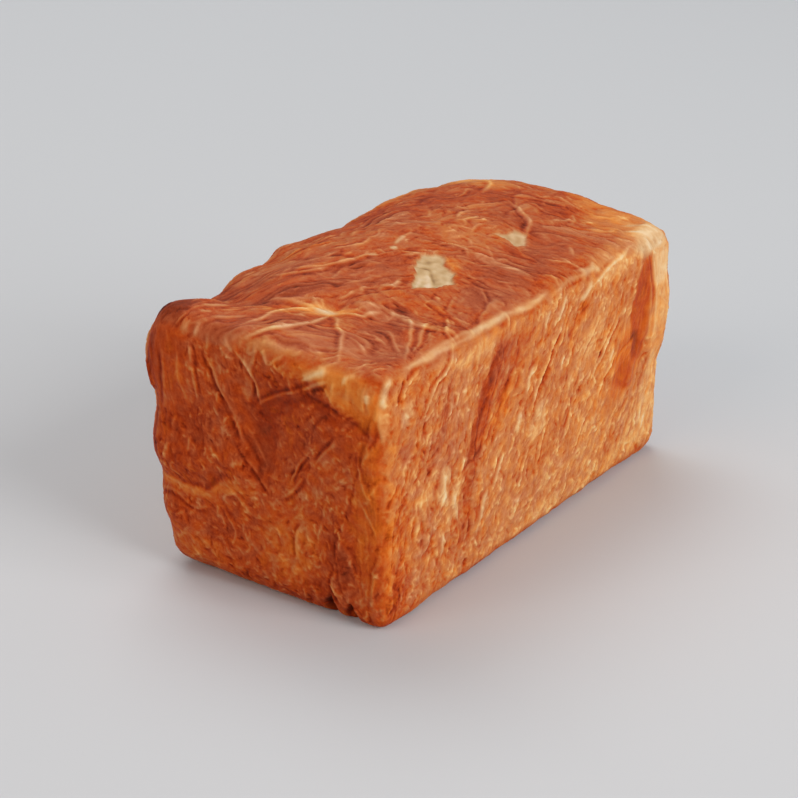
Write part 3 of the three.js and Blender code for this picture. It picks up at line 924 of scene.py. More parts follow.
RIGHT = FaceDesign(
    side=Side.RIGHT,
    seed=202,
    brown=0.475,
    hue=0.05,
    wormy=0.82,
    curly=0.6,
    scale=0.85,
    sheets=34,
    dashes=1700,
    guides=(
        Guide((8, 50), 88, curl=0.9),
        Guide((25, 30), 80, curl=0.9),
        Guide((28, 75), 85, curl=0.9),
        Guide((48, 60), 82, curl=0.8),
        Guide((62, 30), 66, curl=0.2),
        Guide((66, 75), 72, curl=0.7),
        Guide((85, 25), 62, curl=0.4),
        Guide((90, 60), 60, curl=0.7),
        Guide((110, 25), 54, curl=0.3),
        Guide((115, 70), 55, curl=0.7),
        Guide((140, 30), 48, curl=0.3),
        Guide((140, 75), 52, curl=0.6),
        Guide((160, 45), 46, curl=0.3),
        Guide((165, 75), 50, curl=0.5),
        Guide((178, 30), 82),
        Guide((192, 45), 86),
        Guide((190, 80), 70),
    ),
    patches=(
        Patch((5, 50), (90, 4), 89, rise=0.2, soft=3, calm=0.3, hue=0.35, grain=89),
        Patch((62, 3), (104, 6), soft=2, calm=0.7, grain=2),
        Patch((24, 24), (40, 34), 75, tone=0.025, soft=10, hue=-0.1),
        Patch((13, 31), (9, 6), 60, tone=0.10, soft=3, calm=0.4, hue=-0.7),
        Patch((27, 64), (24, 9), 80, tone=0.07, soft=5, hue=-0.5),
        Patch((40, 36), (34, 24), 60, tone=0.04, soft=8, hue=-0.5),
        Patch((101, 50), (16, 9), 60, tone=-0.12, rise=0.2, soft=3, hue=0.3, raw=0.2),
        Patch((136, 34), (44, 11), 46, tone=-0.09, hue=0.3, raw=0.1),
        Patch((12, 17), (7, 5), 70, tone=-0.12, soft=3, raw=0.25),
        Patch((37, 52), (14, 8), 78, tone=-0.13, soft=2.5, hue=0.4, raw=0.25),
        Patch((44, 63), (16, 6), 75, tone=-0.12, soft=2.5, hue=0.4, raw=0.2),
        Patch((28, 51), (12, 6), 60, tone=-0.1, soft=3, hue=0.8, raw=0.1),
        Patch((34, 4), (16, 5), 3, tone=-0.05, soft=3, calm=0.6, hue=-0.6),
        # Dark hollow strip: sunken, with painted shade in it.
        Patch((65, 30), (58, 9), 65, tone=0.29, rise=-0.5, soft=5, calm=0.6, hue=-0.4, grain=65),
        # Sunken and darker: painted shade in the hollow.
        Patch((79, 22), (26, 9), 72, tone=0.16, rise=-0.2, soft=5, calm=0.5, hue=-0.45),
        Patch((88, 17), (30, 9), 62, tone=0.07, soft=5, calm=0.5, hue=0.2),
        Patch((54, 66), (44, 9), 82, tone=0.11, soft=6, hue=-0.35),
        Patch((75, 36), (18, 9), 70, tone=0.06, soft=5, calm=0.4, hue=0.3),
        Patch((66, 8), (42, 8), 4, tone=-0.15, soft=5, calm=0.6, hue=0.4),
        # Sunken and darker: painted shade in the hollow.
        Patch((128, 18), (22, 6), 52, tone=0.12, rise=-0.3, hue=0.2),
        Patch((133, 14), (6, 4), 40, tone=0.12, soft=3),
        Patch((150, 60), (60, 40), 50, tone=-0.05, soft=14, hue=0.25),
        Patch((188, 3), (26, 10), 4, tone=-0.2, soft=5, calm=0.1, hue=0.4, raw=0.65),
        Patch((157, 5), (40, 9), 2, tone=-0.12, soft=6, calm=0.3, hue=0.4, raw=0.12),
        Patch((193, 14), (18, 14), 80, tone=-0.18, soft=5, calm=0.3, hue=0.7, raw=0.4),
        Patch((179, 29), (42, 14), 84, tone=0.24, soft=3, calm=1.0, hue=0.2, grain=86),
        Patch((170, 48), (24, 22), 62, tone=0.16, soft=5, calm=1.0, hue=0.1, grain=70),
        Patch((163, 57), (26, 13), 35, tone=0.08, soft=5, calm=0.8, grain=60),
        Patch((166, 46), (34, 11), 66, tone=0.03, calm=1.0, hue=0.2, grain=70),
        Patch((193, 34), (50, 15), 86, tone=-0.14, rise=0.2, soft=3, calm=0.5, hue=0.5, raw=0.05, grain=86),
        Patch((191, 72), (36, 22), 75, tone=-0.12, soft=8, calm=0.25, hue=0.5, raw=0.08),
        Patch((168, 88), (40, 9), 2, tone=-0.10, soft=6, hue=0.45),
        Patch((120, 90), (70, 8), 2, tone=-0.06, soft=6, hue=0.2),
        Patch((125, 82), (150, 24), 2, tone=-0.05, soft=10, hue=-0.2),
        # Darker strip along the foot: browned bottom edge with a painted contact shadow.
        Patch((103, 98), (210, 5), tone=0.12),
        Patch((10, 90), (20, 12), tone=0.08, soft=6),
        Patch((36, 86), (22, 12), 60, tone=0.04, soft=6),
        Patch((18, 84), (14, 20), 80, tone=0.05, soft=6, hue=-0.3),
        Patch((9, 72), (50, 18), 88, tone=0.15, soft=9, hue=0.2),
    ),
    strokes=(
        Stroke(((6, 1), (3, 5), (2, 11)), 2.2, 0.6, -0.3, lip=-0.3, raw=0.5),
        Stroke(((2, 12), (3, 18), (2, 24)), 1.7, 0.5, -0.2, lip=-0.4),
        # A darker groove: painted shade in it.
        Stroke(((12, 4), (10, 8), (8, 13)), 2.0, -0.8, 0.32),
        Stroke(((22, 4), (17, 5), (13, 7)), 1.6, 0.5, -0.22, lip=0.3),
        Stroke(((43, 1), (38, 8), (30, 11), (25, 16), (22, 24)), 1.6, 0.7, -0.3, lip=0.25, raw=0.1),
        Stroke(((11, 16), (13, 18)), 2.4, 0.3, -0.25, raw=0.5),
        Stroke(((42, 19), (45, 21), (43, 25)), 1.4, 0.4, -0.28, lip=0.3),
        Stroke(((38, 21), (40, 24), (37, 27)), 1.4, 0.4, -0.28, raw=0.2),
        Stroke(((34, 24), (32, 30)), 1.3, 0.4, -0.22),
        # These two grooves are darker: painted shade in them.
        Stroke(((19, 25), (19, 32)), 1.8, -0.6, 0.22),
        Stroke(((21, 56), (21, 62)), 1.6, -0.5, 0.2),
        Stroke(((36, 46), (37, 54), (40, 62)), 3.4, 0.4, -0.2, lip=0.2, raw=0.45),
        Stroke(((43, 57), (45, 64), (47, 70)), 2.8, 0.4, -0.2, raw=0.45),
        Stroke(((50, 46), (50, 52)), 1.8, 0.4, -0.25, raw=0.15),
        Stroke(((20, 49), (21, 60), (20, 68)), 1.5, 0.5, -0.22, lip=0.3),
        Stroke(((38, 71), (37, 81)), 2.4, 0.4, -0.2, raw=0.3),
        Stroke(((12, 83), (13, 88)), 1.6, 0.3, -0.12, raw=0.1),
        Stroke(((6, 64), (6, 70)), 1.6, 0.4, -0.14, raw=0.1),
        Stroke(((79, -1), (79, 3), (77, 6)), 1.7, 0.5, -0.3),
        Stroke(((46, 2), (60, 2), (72, 2), (84, 2)), 2.5, 0.4, -0.3, lip=0.2, raw=0.5),
        Stroke(((12, 2), (26, 2), (38, 2), (50, 2)), 1.9, 0.4, -0.3, lip=0.15, raw=0.3),
        Stroke(((80, 2), (94, 3), (110, 2)), 2.0, 0.4, -0.24, lip=0.2, raw=0.3),
        Stroke(((112, 3), (124, 2), (133, 3)), 1.7, 0.4, -0.2, lip=0.2, raw=0.3),
        Stroke(((132, 3), (141, 2), (148, 4)), 2.8, 0.5, -0.26, lip=0.2, raw=0.5),
        Stroke(((138, 8), (148, 6), (158, 4), (172, 2)), 1.7, 0.5, -0.24, lip=-0.3, raw=0.35),
        Stroke(((178, 5), (180, 9)), 2.6, 0.2, 0.14),
        Stroke(((191, 7), (196, 9)), 2.8, 0.2, 0.14),
        Stroke(((184, 0), (186, 9)), 2.0, 0.3, -0.2, raw=0.7),
        Stroke(((198, 18), (199, 30), (198, 44)), 1.8, 0.3, -0.14, raw=0.25),
        Stroke(((188, 20), (189, 34), (188, 48)), 1.6, 0.3, -0.12, lip=0.2, raw=0.2),
        Stroke(((70, 14), (66, 24), (61, 36), (57, 50), (54, 62)), 2.6, 0.3, 0.02),
        Stroke(((75, 10), (72, 20), (67, 31), (63, 42)), 1.3, 0.4, -0.1),
        Stroke(((60, 30), (58, 40), (56, 48), (56, 56), (55, 64)), 3.0, 1.7, -0.06),
        Stroke(((80, 21), (79, 25)), 2.2, 0.4, -0.22, raw=0.12),
        Stroke(((88, 42), (86, 50)), 2.4, 0.4, -0.22, raw=0.3),
        Stroke(((97, 27), (94, 32), (92, 37)), 2.6, 0.4, -0.24, raw=0.3),
        Stroke(((107, 8), (105, 11), (103, 15)), 2.4, 0.5, -0.24, raw=0.4),
        Stroke(((120, 6), (116, 10), (112, 14)), 2.3, 0.5, -0.24, raw=0.4),
        Stroke(((138, 6), (134, 9), (129, 12)), 3.0, 0.5, -0.26, raw=0.5),
        Stroke(((117, 15), (110, 22), (104, 29), (99, 37), (94, 46)), 1.7, 1.0, -0.28, lip=-1.0),
        Stroke(((125, 9), (118, 18), (112, 26)), 1.4, 0.5, -0.16, lip=-0.3),
        Stroke(((77, 56), (74, 61), (71, 67)), 1.8, 0.6, -0.32, lip=0.3, raw=0.25),
        Stroke(((67, 66), (64, 71), (62, 77)), 3.8, 0.5, -0.24, lip=0.2, raw=0.4),
        Stroke(((61, 76), (60, 80)), 2.2, 0.3, -0.2, raw=0.3),
        Stroke(((119, 30), (117, 33)), 2.2, 0.4, -0.25, raw=0.4),
        Stroke(((158, 39), (155, 44)), 2.6, 0.4, -0.25, raw=0.4),
        Stroke(((166, 24), (156, 32), (147, 41), (140, 49)), 1.9, 0.6, -0.2, lip=-0.35, raw=0.18),
        Stroke(((158, 26), (150, 34), (143, 41)), 1.5, 0.5, -0.16, lip=-0.3),
        Stroke(((160, 42), (152, 49), (146, 57)), 1.5, 0.5, -0.18, lip=-0.3),
        Stroke(((146, 22), (138, 30), (131, 38)), 1.4, 0.5, -0.16, lip=-0.3),
        Stroke(((140, 58), (133, 66), (127, 75)), 1.4, 0.5, -0.18, lip=-0.3),
        Stroke(((128, 50), (123, 58), (119, 66)), 1.4, 0.45, -0.18, lip=0.3),
        Stroke(((108, 52), (104, 60), (100, 69)), 1.4, 0.45, -0.18, lip=-0.3),
        Stroke(((96, 58), (92, 66), (88, 75)), 1.5, 0.45, -0.18, lip=0.3),
        Stroke(((176, 8), (179, 6)), 3.2, 0.3, -0.05),
        Stroke(((189, 78), (187, 84)), 3.0, 0.4, -0.25, raw=0.5),
        # A notch in the far edge, darker: painted shade in it.
        Stroke(((203, 52), (205, 57)), 2.4, -1.0, 0.15),
        Stroke(((183, 13), (184, 26), (185, 44)), 1.5, 0.4, -0.2),
        Stroke(((184, 20), (183, 38), (173, 54), (167, 63)), 4.4, 0.9, -0.1),
        Stroke(((167, 14), (167, 30), (164, 44)), 1.4, 0.3, -0.1),
        # Notches at the foot, darker: painted shade inside them.
        Stroke(((54, 88), (55, 92)), 2.2, -1.2, 0.35),
        Stroke(((149, 89), (150, 93)), 2.2, -1.1, 0.3),
        Stroke(((185, 90), (186, 94)), 2.2, -1.1, 0.3),
    ),
)

TOP = FaceDesign(
    side=Side.TOP,
    seed=303,
    brown=0.63,
    # The top's mauve hue is partly painted sheen of its glossy crust.
    hue=-0.46,
    wormy=0.6,
    curly=0.1,
    relief=0.42,
    sheets=80,
    dashes=700,
    dash_mm=(2.0, 9.0),
    guides=(
        Guide((6, 30), -55),
        Guide((14, 40), -60),
        Guide((20, 52), -70),
        Guide((12, 70), -75),
        Guide((12, 92), -60),
        Guide((24, 92), 60),
        Guide((28, 20), -40),
        Guide((45, 25), -30),
        Guide((58, 38), -32),
        Guide((72, 42), -25, curl=0.3),
        Guide((90, 35), -15, curl=0.5),
        Guide((60, 60), -25, curl=0.3),
        Guide((50, 85), 80),
        Guide((75, 90), 60),
        Guide((100, 88), -85),
        Guide((120, 85), -82, curl=0.4),
        Guide((140, 92), -75, curl=0.4),
        Guide((112, 64), -40, curl=0.8),
        Guide((130, 40), -20, curl=0.7),
        Guide((160, 40), -30, curl=0.6),
        Guide((165, 65), 60, curl=0.6),
        Guide((185, 60), -80, curl=0.4),
        Guide((175, 90), -60),
    ),
    patches=(
        Patch((12, 46), (46, 14), -62, tone=0.03, soft=6, calm=0.5, hue=-0.4, grain=-64),
        Patch((62, 104), (104, 6), soft=2, calm=0.7, grain=0),
        # Smooth greyish mauve: painted sheen.
        Patch((4, 38), (16, 8), -60, tone=0.02, calm=0.95, hue=-1.0),
        Patch((15, 69), (34, 14), -76, tone=0.02, rise=0.3, calm=0.75, hue=-0.35, rim=0.3),
        Patch((2, 56), (24, 4), -86, tone=-0.15, soft=3, calm=0.5, hue=0.6, raw=0.08),
        Patch((11, 60), (22, 4), -74, tone=-0.14, soft=3, calm=0.6, hue=0.9),
        Patch((6, 67), (20, 4), -74, tone=0.05, soft=3, calm=0.7, hue=-0.9),
        Patch((17, 68), (20, 5), -76, tone=0.03, soft=3, calm=0.7, hue=-0.8),
        Patch((23, 70), (22, 3), -74, tone=-0.08, soft=3, calm=0.6, hue=0.6),
        Patch((29, 50), (24, 8), -52, tone=-0.14, soft=5, calm=0.5, hue=0.9),
        Patch((40, 32), (44, 10), -30, tone=0.02, soft=6, calm=0.5, hue=0.1),
        Patch((34, 38), (30, 8), -40, tone=0.08, soft=5, calm=0.55, hue=-0.6),
        Patch((48, 22), (50, 12), -28, tone=0.10, soft=7, calm=0.5, hue=-0.4),
        Patch((12, 10), (26, 16), -30, tone=0.06, soft=9, calm=0.3, hue=-0.4),
        Patch((9, 13), (12, 9), -20, tone=0.12, soft=5, hue=-1.0),
        Patch((11, 5), (8, 6), tone=0.34),
        Patch((62, 50), (44, 18), -28, soft=7, calm=0.35, hue=-0.3),
        Patch((40, 80), (22, 24), 70, tone=0.06, rise=0.2, soft=5, calm=0.4, hue=-0.45),
        Patch((22, 88), (26, 22), 70, tone=0.05, soft=6, calm=0.3, hue=-0.6),
        Patch((52, 78), (7, 5), tone=0.14, soft=3, hue=-0.3),
        Patch((95, 92), (44, 18), 10, tone=0.03, rise=0.2, soft=7, calm=0.65, hue=-0.5),
        Patch((118, 84), (40, 26), 20, tone=0.04, soft=7, calm=0.4, hue=-0.3, grain=-84),
        Patch((80, 90), (16, 10), 40, tone=0.03, hue=-0.5),
        Patch((144, 84), (26, 22), 10, tone=0.06, soft=7, calm=0.5, hue=-0.3),
        Patch((158, 60), (34, 16), 70, tone=0.05, soft=6, calm=0.45, hue=-0.25),
        Patch((176, 56), (40, 18), 80, tone=0.07, soft=6, calm=0.5),
        Patch((160, 34), (50, 18), -20, tone=0.06, soft=7, calm=0.5, hue=-0.1),
        Patch((120, 22), (70, 18), -10, tone=0.05, soft=8, calm=0.4, hue=0.2),
        Patch((115, 30), (14, 9), -20, tone=0.05, soft=5, hue=-0.8),
        Patch((126, 58), (34, 26), 60, tone=-0.07, soft=7, hue=0.15),
        Patch((108, 58), (22, 16), 40, tone=-0.03, soft=6, hue=0.2),
        Patch((187, 92), (40, 22), -40, tone=-0.18, soft=12, calm=0.2, hue=0.6),
        Patch((176, 104), (60, 12), tone=-0.14, soft=7, calm=0.2, hue=0.4, raw=0.1),
        Patch((190, 103), (22, 10), 10, tone=-0.18, soft=7, calm=0.1, hue=0.4, raw=0.55),
        Patch((188, 24), (34, 18), 70, tone=-0.17, soft=7, calm=0.5, hue=0.8),
        # Golden along the far edge: golden crust with a painted highlight along it.
        Patch((200, 60), (70, 10), 90, tone=-0.06, soft=6, calm=0.4, hue=0.6),
        Patch((192, 78), (26, 14), 86, tone=-0.1, soft=7, calm=0.2, hue=0.7),
        # Golden rim along the back edge: golden crust with a painted highlight along it.
        Patch((146, 5), (96, 12), tone=-0.15, soft=8, hue=0.8),
        Patch((176, 10), (56, 16), -6, tone=-0.08, soft=8, calm=0.3, hue=0.6),
        Patch((60, 5), (70, 14), tone=0.05, soft=8, hue=0.1),
        Patch((92, 105), (40, 7), tone=-0.06, soft=5, calm=0.4, hue=-0.2),
        Patch((97, 70), (9, 6), 30, tone=-0.04, hue=0.9),
        Patch((34, 57), (15, 8), -55, tone=-0.14, soft=6, calm=0.4, hue=0.6),
        Patch((34, 58), (7, 4), -55, tone=-0.2, rise=0.3, soft=3, raw=0.75),
        Patch((37, 65), (13, 5), -65, tone=-0.08, calm=0.4, hue=0.8),
    ),
    strokes=(
        Stroke(
            ((33, 60), (28, 61), (20, 60), (13, 57), (7, 51), (3, 46)), 2.2, 0.5, -0.42, lip=-0.12, raw=0.25
        ),
        Stroke(((31, 56), (30, 47), (22, 45), (14, 44), (6, 41)), 2.0, 0.5, -0.34, lip=0.1, raw=0.1),
        Stroke(((33, 56), (34, 48), (33, 40), (30, 34)), 2.6, 0.4, -0.26),
        Stroke(((35, 60), (37, 65), (38, 70), (42, 71), (46, 73)), 2.0, 0.5, -0.32, lip=0.2, raw=0.12),
        Stroke(((33, 61), (29, 66), (24, 70), (20, 75), (13, 79), (6, 83)), 2.0, 0.8, -0.32, lip=0.4),
        Stroke(((7, 83), (4, 84), (2, 81), (1, 76)), 1.9, 0.6, -0.3),
        Stroke(((35, 56), (36, 52), (38, 49)), 2.0, 0.3, -0.18, raw=0.1),
        Stroke(((7, 28), (10, 34), (14, 39)), 2.2, 0.5, -0.24, lip=0.3),
        Stroke(((12, 20), (14, 24), (18, 28)), 2.0, 0.5, -0.3, raw=0.2),
        Stroke(((8, 22), (10, 26)), 1.8, 0.4, -0.26, raw=0.2),
        Stroke(((15, 34), (19, 38), (24, 43)), 1.6, 0.5, -0.18),
        Stroke(((4, 50), (3, 58), (3, 68)), 3.0, 0.4, -0.16),
        Stroke(((9, 64), (8, 72), (4, 78)), 2.4, 0.4, -0.14),
        Stroke(((73, 32), (77, 35), (84, 39), (91, 37)), 1.9, 0.6, -0.28, lip=-0.35),
        Stroke(((60, 30), (66, 33), (72, 36)), 1.5, 0.5, -0.22, lip=0.3),
        Stroke(((50, 27), (56, 35), (66, 42), (74, 44), (82, 46)), 1.7, 0.6, -0.28, lip=0.45),
        Stroke(((46, 22), (48, 30), (54, 37), (60, 40)), 1.6, 0.5, -0.2, lip=0.35),
        Stroke(((88, 48), (91, 49)), 3.2, 0.3, -0.35, raw=0.8),
        Stroke(((92, 47), (97, 46), (103, 45)), 2.0, 0.4, -0.3, raw=0.5),
        Stroke(((78, 45), (81, 47)), 2.4, 0.3, -0.3, raw=0.35),
        Stroke(((43, 56), (47, 58), (51, 58)), 1.7, 0.6, -0.28, lip=0.3),
        Stroke(((52, 60), (56, 58), (60, 61)), 1.7, 0.6, -0.28, lip=0.3),
        Stroke(((61, 62), (65, 65), (71, 64)), 2.0, 0.6, -0.3, lip=0.3, raw=0.15),
        Stroke(((52, 52), (58, 54), (66, 56)), 1.3, 0.4, -0.18),
        Stroke(((20, 76), (19, 82), (15, 88)), 1.4, 0.5, -0.22, lip=0.35),
        Stroke(((26, 77), (28, 82), (26, 88)), 1.4, 0.45, -0.2, lip=0.35),
        Stroke(((32, 78), (33, 85), (28, 91), (21, 98)), 1.5, 0.5, -0.22, lip=0.35),
        Stroke(((49, 82), (43, 88), (36, 92), (28, 96), (17, 102)), 1.8, 0.6, -0.3, lip=-0.4),
        Stroke(((47, 75), (48, 84)), 2.0, 0.4, -0.28, raw=0.2),
        Stroke(((24, 100), (34, 97), (44, 92), (52, 90)), 1.6, 0.5, -0.24, lip=0.3),
        Stroke(((74, 85), (67, 88), (60, 90)), 1.3, 0.3, -0.12, lip=0.3),
        Stroke(((89, 87), (84, 92), (79, 96)), 1.3, 0.4, -0.2, lip=-0.5),
        Stroke(((61, 91), (52, 97), (45, 101), (44, 106)), 1.5, 0.5, -0.26, lip=0.5),
        Stroke(((109, 81), (110, 86), (111, 91)), 1.7, 0.5, -0.28, lip=0.3),
        Stroke(((98, 88), (100, 92), (102, 96)), 1.3, 0.4, -0.18, lip=0.3),
        Stroke(((118, 78), (117, 84), (119, 92)), 1.4, 0.45, -0.16, lip=-0.35),
        # These two grooves are darker: painted shade in them.
        Stroke(((104, 76), (103, 84), (104, 92)), 1.4, -0.5, 0.14),
        Stroke(((92, 78), (90, 86), (93, 93)), 1.4, -0.5, 0.14),
        Stroke(((131, 93), (135, 97), (136, 103)), 1.7, 0.5, -0.28, lip=0.3),
        Stroke(((148, 90), (141, 96)), 1.8, 0.5, -0.3),
        Stroke(((128, 55), (134, 52), (141, 54), (144, 60)), 1.8, 0.6, -0.26, lip=0.35),
        Stroke(((132, 49), (140, 46), (148, 47)), 1.7, 0.5, -0.24, lip=-0.3),
        Stroke(((126, 60), (131, 58), (137, 59)), 1.5, 0.5, -0.2, lip=0.35),
        Stroke(((108, 57), (112, 60), (111, 66), (107, 70)), 1.5, 0.5, -0.22, lip=0.35),
        Stroke(((116, 57), (120, 61), (117, 66)), 1.5, 0.5, -0.22, lip=0.35),
        Stroke(((122, 68), (118, 73), (113, 77)), 1.4, 0.5, -0.2),
        Stroke(((170, 49), (163, 59), (157, 67), (150, 70), (144, 73)), 2.0, 0.7, -0.3, lip=0.6),
        Stroke(((164, 72), (170, 75), (175, 74)), 1.7, 0.5, -0.28, raw=0.15),
        Stroke(((179, 73), (173, 78)), 1.7, 0.5, -0.28, raw=0.15),
        Stroke(((186, 22), (187, 30), (178, 34), (170, 37)), 2.2, 0.6, -0.28, lip=0.4),
        Stroke(((150, 30), (160, 32), (170, 30)), 1.5, 0.5, -0.16, lip=0.4),
        Stroke(((176, 44), (182, 56), (184, 68)), 1.5, 0.5, -0.14, lip=0.4),
        Stroke(((60, 14), (76, 20), (94, 22)), 1.5, 0.5, -0.14, lip=0.4),
        Stroke(((100, 28), (114, 24), (128, 26)), 1.5, 0.5, -0.16, lip=-0.4),
        Stroke(((34, 14), (44, 20), (58, 26)), 1.6, 0.5, -0.16, lip=0.5),
        Stroke(((132, 101), (140, 104), (146, 102)), 2.4, 0.4, -0.24, raw=0.35),
        Stroke(((154, 103), (164, 104), (176, 103)), 1.6, 0.4, -0.22, raw=0.25),
        Stroke(((12, 104), (26, 104), (38, 104), (50, 104)), 1.9, 0.4, -0.3, raw=0.25),
        Stroke(((46, 104), (60, 104), (72, 104), (84, 104)), 2.4, 0.3, -0.26, lip=-0.3, raw=0.4),
        Stroke(((80, 104), (94, 104), (110, 104)), 1.8, 0.3, -0.24, raw=0.2),
        Stroke(((186, 92), (192, 97), (196, 104)), 2.4, 0.3, -0.2, raw=0.6),
        Stroke(((180, 96), (186, 101), (190, 107)), 2.2, 0.3, -0.2, raw=0.7),
        Stroke(((0, 20), (4, 21)), 2.0, 0.3, -0.24),
        Stroke(((0, 25), (4, 25)), 2.0, 0.3, -0.24),
        Stroke(((62, 8), (76, 7), (92, 9)), 2.0, 0.4, -0.2),
        Stroke(((120, 4), (140, 6), (158, 5)), 2.2, 0.4, -0.22),
    ),
    tears=(
        Tear(
            (
                *((68, 71), (75, 67), (81, 64), (88, 60), (92, 59), (98, 61)),
                *((99, 64), (94, 68), (91, 74), (83, 79), (78, 77)),
            ),
            depth=0.8,
            marks=(
                Stroke(((71, 71), (76, 69), (80, 66)), 1.8, 0.5, -0.3),
                Stroke(((74, 74), (79, 71), (84, 67)), 2.8, 0.7, -0.4, lip=0.5),
                # A crease in the raw dough, darkened as painted shade.
                Stroke(((85, 62), (87, 66), (83, 70), (79, 73)), 1.8, -0.7, 0.4),
                Stroke(((82, 77), (86, 75), (90, 72)), 2.4, 0.5, -0.2),
                Stroke(((88, 62), (92, 63), (95, 65)), 2.2, 0.3, 0.3),
            ),
        ),
        Tear(((132, 65), (134, 70), (131, 76), (136, 77), (144, 73), (143, 68), (138, 69)), raw=0.85),
    ),
)

LEFT = FaceDesign(
    side=Side.LEFT,
    seed=404,
    brown=0.50,
    hue=0.1,
    sheets=90,
    dashes=1300,
    folds=46,
    guides=(
        Guide((12, 50), 86, curl=0.8),
        Guide((45, 30), 66, curl=0.4),
        Guide((50, 75), 72, curl=0.7),
        Guide((85, 45), 50, curl=0.5),
        Guide((110, 75), 58, curl=0.7),
        Guide((120, 25), 62, curl=0.4),
        Guide((150, 50), 74, curl=0.5),
        Guide((175, 30), 84, curl=0.2),
        Guide((192, 60), 88),
    ),
    patches=(
        # These two sunken patches are darker: painted shade in the hollows.
        Patch((30, 40), (60, 12), 70, tone=0.15, rise=-0.5, soft=5, calm=0.7, hue=-0.3, grain=70),
        Patch((140, 30), (44, 10), 66, tone=0.14, rise=-0.4, soft=5, calm=0.6, hue=-0.3),
        Patch((90, 60), (50, 20), 55, tone=-0.06, soft=9, hue=0.3),
        Patch((14, 8), (30, 12), tone=-0.10, soft=10, calm=0.2, hue=0.3, raw=0.12),
        Patch((196, 50), (70, 12), 88, tone=0.05, soft=6, calm=0.5, hue=0.2),
        # Darker strip along the foot: browned bottom edge with a painted contact shadow.
        Patch((103, 98), (210, 5), tone=0.12),
    ),
    strokes=(
        Stroke(((60, 12), (52, 26), (46, 42)), 1.9, 0.8, -0.26, lip=-0.7, raw=0.15),
        Stroke(((120, 60), (112, 72), (106, 86)), 1.8, 0.7, -0.26, lip=0.5),
        Stroke(((160, 20), (156, 36), (150, 50)), 1.8, 0.7, -0.24, lip=-0.5),
    ),
)

FAR_END = FaceDesign(
    side=Side.FAR_END,
    seed=505,
    brown=0.58,
    hue=0.1,
    curly=0.25,
    sheets=40,
    dashes=420,
    folds=24,
    guides=(
        Guide((10, 40), 86, curl=0.3),
        Guide((40, 25), 60, curl=0.4),
        Guide((45, 70), 20, curl=0.9),
        Guide((75, 30), -65, curl=0.4),
        Guide((80, 75), 65, curl=0.8),
        Guide((98, 50), 88),
    ),
    patches=(
        Patch((20, 14), (40, 22), 10, tone=-0.06, rise=0.3, soft=10, calm=0.4, hue=0.4),
        # Sunken and darker: painted shade in the hollow.
        Patch((58, 36), (38, 20), 70, tone=0.10, rise=-0.6, soft=7, calm=0.6, hue=-0.3),
        Patch((52, 66), (46, 8), 8, tone=-0.10, rise=0.4, calm=0.6, hue=0.4, rim=0.3),
        # Darker strip along the foot: browned bottom edge with a painted contact shadow.
        Patch((53, 98), (110, 5), tone=0.14),
    ),
    strokes=(
        Stroke(((2, 62), (20, 58), (38, 64), (56, 58)), 1.9, 0.8, -0.2, lip=-0.7),
        Stroke(((70, 6), (64, 20), (62, 36)), 1.8, 0.7, -0.22, lip=0.6),
    ),
)

BASE = FaceDesign(
    side=Side.BASE,
    seed=606,
    brown=0.66,
    hue=0.15,
    wormy=0.45,
    sheets=50,
    dashes=160,
    folds=22,
    guides=(
        Guide((30, 50), 10),
        Guide((100, 40), -12),
        Guide((170, 60), 14),
    ),
    strokes=(
        # Notches in the underside, darker: painted shade inside them.
        Stroke(((-9, 26), (10, 26)), 5.0, -9.0, 0.5),
        Stroke(((-9, 17), (9, 17)), 4.8, -9.0, 0.5),
    ),
)

DESIGNS = (NEAR_END, RIGHT, TOP, LEFT, FAR_END, BASE)


def empty_tree(owner: bpy.types.Material | bpy.types.World) -> Tree:
    """Turns on the nodes of a material or world and clears them away."""
    owner.use_nodes = True
    owner.node_tree.nodes.clear()
    return owner.node_tree


def add_node(tree: Tree, kind: str, inputs: dict | None = None, **settings: object) -> bpy.types.Node:
    """Adds a node with its settings and links, to the right of the last one.

    Args:
        tree: the node tree of a material or world.
        kind: Blender's name for the node type, after the word ShaderNode.
        inputs: for each input socket, by name or number, a value or the output socket that feeds it.
        settings: the node's own properties.

    Returns:
        The new node.
    """
    node = tree.nodes.new("ShaderNode" + kind)
    node.location = (NODE_STEP * len(tree.nodes), 0)
    for name, value in settings.items():
        setattr(node, name, value)
    for key, value in (inputs or {}).items():
        if isinstance(value, Socket):
            tree.links.new(value, node.inputs[key])
        else:
            node.inputs[key].default_value = value
    return node


